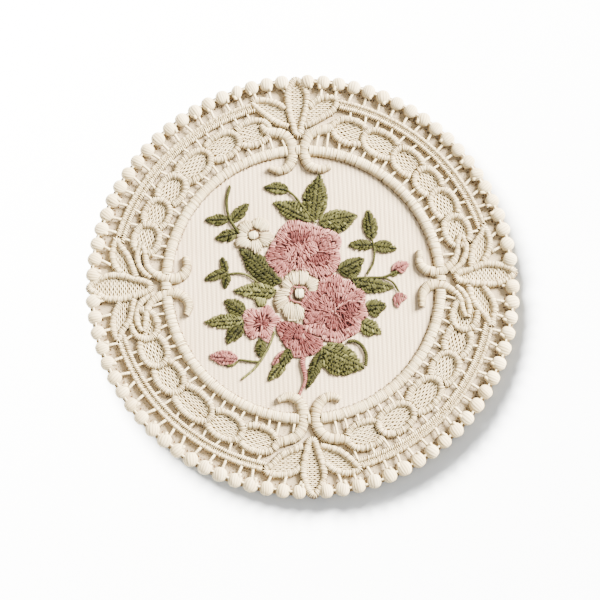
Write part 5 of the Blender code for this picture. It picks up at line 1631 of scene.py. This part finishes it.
# From the uppermost piece down
BOUQUET = (
    motif("flower_ivory_middle", 0.66, IVORY_SLOT, *IVORY_MIDDLE),
    motif("rose_east_heart", 0.3, DEEP_PINK, *HEART),
    motif("rose_east", 0.55, MID_PINK, *ROSE_EAST),
    motif("rose_north", 0.62, LIGHT_PINK, *ROSE_NORTH),
    motif("flower_pink_west", 0.68, LIGHT_PINK, *FLOWER_WEST),
    motif("blossom_south", 0.44, DEEP_PINK, *BLOSSOM_SOUTH),
    motif("flower_ivory_northwest", 0.66, IVORY_SLOT, *IVORY_SMALL),
    motif("berry_west", 0.95, LIGHT_GREEN,
          Petal((-22.4, -7, -21.4, -5.8, -19.6, -5.8, -17.8, -7, -18.2, -9, -19.6, -10.2, -21.4, -10.2,
              -22, -9), (-19, -2), 0, SATIN)),
    motif("sprig_north", 0.58, MID_GREEN,
          Stalk(((-6, 44.6), (-2.6, 41.6), (0.4, 37.4), (3.6, 32.6), (6.4, 28.8)), 1.3),
          Leaf((-5, 44.4), (-17.5, 46.4), 2.3, 3.4)),
    motif("leaf_north_tall", 0.56, MID_GREEN, Leaf((6.3, 29.4), (10, 52.4), 6.6, 4.9)),
    motif("leaf_north_east", 0.55, MID_GREEN, Leaf((8.2, 28.6), (27.2, 31.4), 4.5, 6.4)),
    motif("leaf_north_west", 0.58, MID_GREEN, Leaf((4.8, 29.4), (-13.2, 39.6), 4.3, 5)),
    motif("leaf_west_dark", 0.36, DARK_GREEN, Leaf((-10.2, 0.2), (-29.8, 18), 6, 4.5)),
    motif("leaf_west_light", 0.68, LIGHT_GREEN, Leaf((-12, -4.6), (-34, -2.4), 3.2, 4.4)),
    motif("leaf_east_dark", 0.42, DARK_GREEN, Leaf((15.8, 5.2), (29, 11.2), 2.9, 6.2)),
    motif("tendril_east", 0.5, MID_GREEN,
          Stalk(((23.6, 1.4), (32, 1.4), (37, 1.4), (41, 2.8), (43, 3.6)), 1.3),
          Stalk(((38, 0.8), (41.4, -1.4), (43.6, -5.4)), 1.1),
          Leaf((40.6, 2.2), (44.8, 4.6), 1.2, 1.4)),
    motif("leaf_east_long", 0.52, MID_GREEN, Leaf((21.6, 0.9), (43, -3.8), 2.6, 4.7)),
    motif("leaf_east_short", 0.46, MID_GREEN, Leaf((27.2, -12.2), (38.6, -11.8), 3, 5.1)),
    motif("leaf_southeast", 0.6, MID_GREEN, Leaf((24.6, -19), (35.4, -25.2), 3.5, 4.3)),
    motif("leaf_south_broad", 0.6, MID_GREEN, Leaf((6.8, -30.4), (26.6, -41.4), 5.6, 9)),
    motif("leaf_south_dark", 0.36, DARK_GREEN, Leaf((7.4, -31.6), (-1.2, -50.6), 2.6, 2.8)),
    motif("stalk_south_pink", 0.52, MID_PINK,
          Stalk(((-1.6, -34.4, 3), (-2.2, -38, 3.4), (-1.4, -42.6, 2.6), (-1.6, -46.6, 1.7), (-4.2, -52,
              1.2)), 2.4)),
    motif("petal_south_strip", 0.6, LIGHT_PINK, Leaf((-10.6, -31.4), (-16.8, -39.6), 1.4, 1.5)),
    motif("leaf_south_tip", 0.5, LIGHT_GREEN,
          Leaf((-7, -30.6), (-13.6, -39.4), 3, 2.6, -0.12),
          Leaf((-9.4, -34.6), (-19, -45.8), 3.1, 2.1, 0.14)),
    motif("leaf_southwest_upper", 0.46, DARK_GREEN, Leaf((-27.4, -13.2), (-37.6, -6.2), 3.6, 3.6)),
    motif("leaf_southwest_middle", 0.66, LIGHT_GREEN, Leaf((-28.6, -16.6), (-47.4, -17), 3.3, 3.5)),
    motif("leaf_southwest_lower", 0.4, DARK_GREEN, Leaf((-28.6, -17.2), (-37.2, -27.6), 3.4, 3.4)),
    motif("leaf_southwest_small", 0.42, DARK_GREEN, Leaf((-20.2, -25), (-22.2, -34.6), 2.5, 2.4)),
    motif("bud_southwest", 0.56, MID_PINK, Leaf((-31.6, -34.6), (-45.6, -32.6), 3.3, 3.4)),
    motif("tendril_southwest", 0.6, MID_GREEN,
          Stalk(((-31, -34.9), (-26, -35.8), (-22, -36.2)), 1.2),
          Stalk(((-14.6, -23), (-18.2, -31), (-23.4, -38.4), (-29.8, -43.6)), 1.2, 0.2),
          Leaf((-31.6, -35.4), (-38.6, -37.4), 1.4, 0.8)),
    motif("tendril_south", 0.5, MID_GREEN,
          Stalk(((19.4, -28.2), (22.4, -28.2), (25.4, -30.4), (27.2, -34.6), (26.8, -39.6)), 2.2)),
    motif("sprig_northwest", 0.48, MID_GREEN,
          Stalk(((-32.6, 47.2), (-34.2, 41), (-34, 35), (-32.6, 30.6), (-29.4, 25)), 1.5),
          Leaf((-32.6, 30.4), (-23.8, 39.6), 2.6, 2.9),
          Leaf((-33.4, 31.4), (-45.4, 31.6), 2.5, 2.8),
          Leaf((-29.6, 24.8), (-40.8, 22.4), 2.9, 2.9)),
    motif("sprig_west", 0.46, MID_GREEN,
          Stalk(((-36.4, 5.2), (-30.6, 5.8), (-26, 4.6), (-21.8, 1.4)), 1.1, 0.2),
          Leaf((-35.2, 6), (-37.8, 14.4), 1.9, 1.8),
          Leaf((-34.6, 7), (-46.6, 2.8), 2.2, 2.5),
          Leaf((-35, 6.6), (-36.8, -2), 2, 1.8)),
    motif("sprig_east", 0.52, MID_GREEN,
          Stalk(((32.4, 20), (33.5, 14.6), (32.6, 8.4), (29.6, 3.2)), 1.1),
          Leaf((32.8, 19.4), (31.4, 34.6), 3.4, 3.4),
          Leaf((33, 16.8), (20.6, 17.4), 2.6, 2.6),
          Leaf((33, 16.4), (44.8, 14.4), 3.5, 2.6)),
    motif("bud_east", 0.52, MID_PINK, Leaf((40.8, 4.2), (50, 8), 2.8, 3.2)),
    motif("bud_southeast", 0.5, MID_PINK,
          Petal((42, -6.4, 45.4, -6.2, 47.6, -8.8, 45.6, -10.6, 44.6, -11.4, 43.2, -13.6, 41.4, -12,
              41, -8.6), (43.6, -3), 0, 3)),
)


@dataclass
class Embroidery:
    """The stitches of the bouquet, laid side by side over a padded ground, whose dark tone is painted shade
    between the stitches.
    """

    floor: float = CLOTH_TOP + 0.1
    lane: float = 1.9
    tuft: float = 1.42
    padding: float = 0.95
    ground_step: float = 0.005

    def leaf_half(self, width: float, share: np.ndarray) -> np.ndarray:
        """Gives a leaf's half width along its length, from base to tip."""
        share = np.clip(share, 0, 1)
        return width * 1.03 * np.sin(math.pi * share ** 0.82) ** (0.62 + 0.5 * share)

    def outline(self, shape: Leaf | Stalk | Petal | Knot) -> np.ndarray:
        """Gives the outline of any shape of the bouquet."""
        if isinstance(shape, Petal):
            rounded = smooth(in_rows(shape.outline), 4, closed=True)
            return offset_loop(rounded, 0.45 if shape.length == SATIN else 0.0)
        if isinstance(shape, Knot):
            t = np.arange(16) / 16 * math.tau
            box = np.array(shape.half) * np.stack([np.cos(t), np.sin(t)], 1)
            span_out = np.maximum(np.abs(np.cos(t)), np.abs(np.sin(t)))[:, None]
            return np.array(shape.centre) + box / span_out ** 0.5
        if isinstance(shape, Stalk):
            line, half = self.stalk_line(shape)
            return strip(line, half)
        base, tip = np.array(shape.base), np.array(shape.tip)
        along = tip - base
        across = left_of(along / np.linalg.norm(along))
        t = np.linspace(0, 1, 20)[1:-1]
        middle = base + t[:, None] * along
        right = middle - across * self.leaf_half(shape.right, t)[:, None]
        left = middle + across * self.leaf_half(shape.left, t)[:, None]
        return np.concatenate([[base], right, [tip], left[::-1]])

    def stalk_line(self, stalk: Stalk) -> tuple[np.ndarray, np.ndarray]:
        """Gives a stem's line and its half widths."""
        rows = np.array(stalk.points, float)
        if rows.shape[1] == 2:
            rows = np.column_stack([rows, np.full(len(rows), stalk.width)])
        line = spaced(smooth(rows, 8), 0.85)
        return line[:, :2], line[:, 2] / 2

    def clipped(self, starts: np.ndarray, ends: np.ndarray, outline: np.ndarray) -> tuple[np.ndarray, ...]:
        """Shortens stitches to the part that lies inside an outline.

        Args:
            starts: where they come up.
            ends: where they go down.
            outline: the outline.

        Returns:
            The shortened starts and ends, which of the stitches remain, and which reach the edge.
        """
        samples = 13
        t = np.linspace(0, 1, samples)
        points = starts[:, None] + (ends - starts)[:, None] * t[:, None]
        within = inside(points.reshape(-1, 2), outline).reshape(-1, samples)
        first = np.argmax(within, 1)
        beyond = ~within & (np.arange(samples) > first[:, None])
        last = np.where(beyond.any(1), np.argmax(beyond, 1) - 1, samples - 1)
        length = np.linalg.norm(ends - starts, axis=1) * (t[last] - t[first])
        kept = within.any(1) & (length > 0.7)
        row = np.arange(len(starts))
        return points[row, first][kept], points[row, last][kept], kept, beyond.any(1)[kept]

    def ground(self, places: np.ndarray, outline: np.ndarray) -> np.ndarray:
        """Gives the height of a patch's padding at some places inside its outline."""
        near = np.linalg.norm(places[:, None] - outline[None, :, :2], axis=2).min(1)
        return self.floor + 0.3 + self.padding * (1 - np.exp(-near / 1.6))

    def lay(self, work: ThreadWork, starts: np.ndarray, ends: np.ndarray, outline: np.ndarray,
            tones: np.ndarray, covers: list[np.ndarray], width: float, lift: float = 0.0,
            rise: float = 0.3, blunt: float = 0.0, holes: float = 0.0) -> None:
        """Lays single plump stitches from point to point.

        Args:
            work: the mesh that takes them.
            starts: where they come up.
            ends: where they go down.
            outline: the outline of their patch, whose middle is padded.
            tones: the tone of each.
            covers: outlines of what lies over them.
            width: half the width of a stitch.
            lift: how much higher than other stitches they lie.
            rise: how far they arch up.
            blunt: the share of their ends that slip under the next stitch.
            holes: the share of their ends at which a needle hole shows, as a dark spot of painted shade.
        """
        middle = (starts + ends) / 2
        seen = uncovered(middle, covers)
        starts, ends, middle, tones = starts[seen], ends[seen], middle[seen], tones[seen]
        if not len(starts):
            return
        low = self.ground(middle, outline) + lift
        t = np.array([0.0, 0.12, 0.36, 0.64, 0.88, 1.0])
        soft = np.repeat(CHANCE.random((len(low), 2)) < blunt, 3, axis=1)
        arch = np.where(soft, [0.2, 0.8, 1.0, 1.0, 0.8, 0.2], [-0.9, 0.6, 1.0, 1.0, 0.6, -0.9])
        plump = np.where(soft, [0.8, 0.95, 1.0, 1.0, 0.95, 0.8], [0.3, 0.84, 1.0, 1.0, 0.84, 0.3])
        # Painted shade: the depth falls at a stitch's ends, where it goes into the cloth.
        fade = np.where(soft, [0.75, 0.95, 1.0, 1.0, 0.95, 0.75], [0.1, 0.75, 1.0, 1.0, 0.75, 0.1])
        plan = starts[:, None] + (ends - starts)[:, None] * t[:, None]
        up = rise * (1 + CHANCE.normal(0, 0.2, len(low)))
        paths = np.concatenate([plan, (low[:, None] + up[:, None] * arch)[..., None]], -1)
        step = (ends - starts) / np.maximum(np.linalg.norm(ends - starts, axis=1), 1e-6)[:, None]
        flat = np.column_stack([left_of(step), np.zeros(len(step))])
        wide = width * (1 + CHANCE.normal(0, 0.08, len(low)))[:, None] * plump
        work.strands(paths, flat, wide, wide * 0.8, THREAD_SIDES, tones, fade=fade)
        if holes:
            inner = offset_loop(outline, -0.55)
            for place, way, top in zip((starts, ends), (step, -step), (low + up, low + up)):
                chosen = (CHANCE.random(len(place)) < holes) & inside(place, inner)
                for k in np.flatnonzero(chosen):
                    speck_and_shade_spot(work, place[k] + way[k] * 0.1, CHANCE.uniform(0.24, 0.36), way[k],
                        float(top[k]) + width * 0.86, 0.16)

    def leaf(self, work: ThreadWork, leaf: Leaf, tone: float, covers: list[np.ndarray]) -> None:
        """Stitches a leaf: lanes of slanting stitches at both sides of its vein.

        Args:
            work: the mesh that takes the stitches.
            leaf: its plan.
            tone: the middle of its tones.
            covers: outlines of what lies over it.
        """
        outline = self.outline(leaf)
        # A dark sheet under the leaf: painted shade that shows between its stitches.
        work.slab(offset_loop(outline, -0.4), CLOTH_TOP - 0.1, self.floor + 0.3, 0.0, 0.0)
        base, tip = np.array(leaf.base), np.array(leaf.tip)
        length = float(np.linalg.norm(tip - base))
        along = (tip - base) / length
        across = left_of(along)
        for side, width in ((-1, leaf.right), (1, leaf.left)):
            u = np.arange(-1.2 + 0.35 * side, length, self.tuft)
            u = u + CHANCE.normal(0, 0.1, len(u))
            local = np.maximum(self.leaf_half(width, (u + 0.12 * length) / (1.12 * length)), 0.8)
            lanes = np.maximum(1, np.round(local / self.lane + CHANCE.normal(0, 0.16, len(u)))).astype(int)
            for row in range(lanes.max()):
                seen = row < lanes
                lane = local[seen] / lanes[seen]
                inner = row * lane + (CHANCE.uniform(-0.4, 0.4, len(lane)) if row else -0.1)
                brim = (row == lanes[seen] - 1) * 1.3
                outer = (row + 1) * lane + CHANCE.uniform(-0.1, 0.3, len(lane)) + brim
                slope = math.tan(math.radians(52 + 7 * row))
                root, reach = u[seen] + inner / slope, u[seen] + outer / slope
                starts = self.fanned(base, along, across * side, root, inner, 0.3, 0.0)
                ends = self.fanned(base, along, across * side, reach, outer, 0.44, 0.3)
                starts, ends, kept, edge = self.clipped(starts, ends, outline)
                step = (ends - starts) / np.linalg.norm(ends - starts, axis=1)[:, None]
                ends = ends + step * (edge * CHANCE.uniform(0.0, 0.5, len(ends)))[:, None]
                # Each tuft's tone differs at random, and stitches that reach the outline are a little
                # lighter: a painted highlight along the leaf's edge.
                shade = np.repeat(CHANCE.normal(0, 0.08, len(lane)), 3)[kept]
                tones = tone + leaf.lighter + shade + CHANCE.normal(0, 0.025, len(starts)) + 0.05 * edge
                self.lay(work, starts, ends, outline, tones, covers, 0.33, rise=0.24, blunt=0.65)
                # Dark spots at the tufts' roots: painted shade at the needle holes along the vein and the
                # lanes.
                place = base + along * (root - 0.5 * self.tuft)[:, None] + across * (side * inner)[:, None]
                free = uncovered(place, covers) & inside(place, offset_loop(outline, -0.45))
                free &= CHANCE.random(len(place)) < 0.8
                tops = self.ground(place, outline) + (0.78 if row else 0.58)
                for spot, top in zip(place[free], tops[free]):
                    speck_and_shade_spot(work, spot, CHANCE.uniform(0.34, 0.5), step[0], float(top))

    def fanned(self, base: np.ndarray, along: np.ndarray, out: np.ndarray, at: np.ndarray, away: np.ndarray,
               spread: float, longer: float) -> np.ndarray:
        """Gives the ends of stitches that lie three to a tuft, the middle one perhaps longer.

        Args:
            base: where the leaf starts.
            along: the leaf's direction.
            out: the direction away from its vein.
            at: where each tuft stands along the leaf.
            away: how far it stands from the vein.
            spread: the distance from one stitch of a tuft to the next.
            longer: how much further the middle stitch reaches.

        Returns:
            The plan points, three for each tuft.
        """
        fan = np.array([-1.0, 0.0, 1.0])
        further = away[:, None] + longer * (1 - np.abs(fan))
        points = base + along * (at[:, None] + spread * fan)[..., None] + out * further[..., None]
        return points.reshape(-1, 2)

    def stalk(self, work: ThreadWork, stalk: Stalk, tone: float, covers: list[np.ndarray]) -> None:
        """Stitches a stem: short slanting stitches, each beside the last."""
        line, half = self.stalk_line(stalk)
        along = directions(line)
        across = left_of(along) * half[:, None] * 0.8
        reach = along * np.where(half > 0.9, 0.45, 0.75)[:, None]
        count = len(line)
        tones = tone + stalk.lighter + CHANCE.normal(0, 0.06, count)
        edge = strip(line, half)
        self.lay(work, line - reach - across, line + reach + across, edge, tones, covers,
                 0.5 if stalk.width > 2 else max(0.36, stalk.width * 0.36), 0.15, 0.35)

    def petal(self, work: ThreadWork, petal: Petal, tone: float, covers: list[np.ndarray]) -> None:
        """Stitches a petal in rounds of stitches that spread from its focus.

        Args:
            work: the mesh that takes the stitches.
            petal: its plan.
            tone: the middle of its tones.
            covers: outlines of what lies over it.
        """
        outline = self.outline(petal)
        satin = petal.length == SATIN
        ground_top = self.floor + 0.5 - self.ground_step * len(covers)
        # A darker ground under the petal: painted shade that shows between its stitches.
        work.slab(outline, CLOTH_TOP - 0.1, ground_top, max(tone - 0.25, 0.34), 0.8)
        focus = np.array(petal.focus)
        arm = outline - focus
        far = np.linalg.norm(arm, axis=1)
        middle = arm.mean(0)
        heading = math.atan2(middle[1], middle[0])
        turn = (np.arctan2(arm[:, 1], arm[:, 0]) - heading + math.pi) % math.tau - math.pi
        held = bool(inside(focus[None], outline)[0])
        low_turn, high_turn = (-math.pi, math.pi) if held else (turn.min(), turn.max())
        pitch = 0.52
        first = 0.4 if held else far.min() - CHANCE.uniform(0.2, 0.8)
        for number, start in enumerate(np.arange(first, far.max(), petal.length)):
            round_at = start + petal.length * 0.6 if not satin else far.max() * 0.93
            count = max(3, int((high_turn - low_turn) * round_at / pitch))
            angle = heading + np.linspace(low_turn, high_turn, count, endpoint=not held)
            angle = angle + (number % 2 * 0.5 + CHANCE.normal(0, 0.1, count)) * pitch / round_at
            slip = CHANCE.uniform(-0.3, 0.3, count) * (0 if satin else petal.length)
            near_end = np.maximum(start + slip, 0.3)
            far_end = start + petal.length + slip + CHANCE.uniform(0.0, 0.7, count)
            if satin:
                far_end = far_end + 4.0
            lean = CHANCE.normal(0, 0.05, count)
            spoke = np.stack([np.cos(angle), np.sin(angle)], 1)
            bent = np.stack([np.cos(angle + lean / 3), np.sin(angle + lean / 3)], 1)
            starts, ends, kept, edge = self.clipped(focus + spoke * near_end[:, None],
                                                    focus + bent * far_end[:, None], outline)
            tones = tone + 1.25 * petal.lighter + CHANCE.normal(0, 0.06, len(starts))
            if satin:
                self.lay(work, starts, ends, outline, tones - 0.15, covers, 0.33, 0.1, 0.4, 0.3)
            else:
                # Stitches that reach the outline are lighter: a painted highlight along the petal's rim.
                self.lay(work, starts, ends, outline, tones - 0.1 + 0.18 * edge, covers, 0.34, blunt=0.9,
                         holes=0.16)

    def knot(self, work: ThreadWork, knot: Knot, tone: float, covers: list[np.ndarray]) -> None:
        """Stitches a raised knot of stitches side by side."""
        centre, half = np.array(knot.centre), np.array(knot.half)
        outline = self.outline(knot)
        count = max(4, int(round(2 * half[0] / 0.55)))
        across = np.linspace(-0.86, 0.86, count) * half[0]
        reach = half[1] * np.sqrt(1 - (across / half[0]) ** 2 * (0.85 if half[0] == half[1] else 0.5))
        starts = centre + np.stack([across, -reach], 1)
        ends = centre + np.stack([across, reach], 1)
        tones = tone + 0.12 + CHANCE.normal(0, 0.05, count)
        # A dark sheet reaching beyond the knot: painted shadow around it.
        work.slab(offset_loop(outline, knot.shadow_reach), CLOTH_TOP - 0.1, self.floor + 0.75, 0.0, 1.0)
        self.lay(work, starts, ends, outline, tones, covers, 0.4, 0.7, 0.5, 0.6)

    def build(self, finishes: dict[Family, bpy.types.Material]) -> None:
        """Stitches every piece of the bouquet, from the uppermost down.

        Args:
            finishes: the material of each thread family.
        """
        makers = {Leaf: self.leaf, Stalk: self.stalk, Petal: self.petal, Knot: self.knot}
        above: list[np.ndarray] = []
        for motif in BOUQUET:
            work = ThreadWork(motif.name + "_stitches")
            own: list[np.ndarray] = []
            for shape in motif.shapes:
                makers[type(shape)](work, shape, motif.tone, above + own)
                own.append(offset_loop(self.outline(shape), -0.3))
            settle(work.piece(finishes[motif.family]), motif.slot, motif.name)
            above += [offset_loop(self.outline(shape), -0.25) for shape in motif.shapes]
        LOG.info("bouquet of %d pieces", len(BOUQUET))


def main() -> None:
    """Builds the placemat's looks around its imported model."""
    logging.basicConfig(level=logging.INFO)
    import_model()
    studio = Studio()
    studio.camera()
    studio.light(studio.table())
    Backing().build()
    lace = LACE_FINISH.material()
    palmettes = [PalmetteWork(plan) for plan in PALMETTES]
    covers = [loop for palmette in palmettes for loop in palmette.outlines()]
    net = LaceNet(covers)
    net.ring(lace)
    for quarter in QUARTERS:
        net.quarter(quarter, lace)
        Edging(quarter, covers).build(lace)
    for palmette in palmettes:
        palmette.build(lace)
    finishes = {Family.IVORY: IVORY_FINISH.material(), Family.GREEN: GREEN_FINISH.material(),
                Family.PINK: PINK_FINISH.material()}
    Embroidery().build(finishes)


if __name__ == "__main__":
    main()
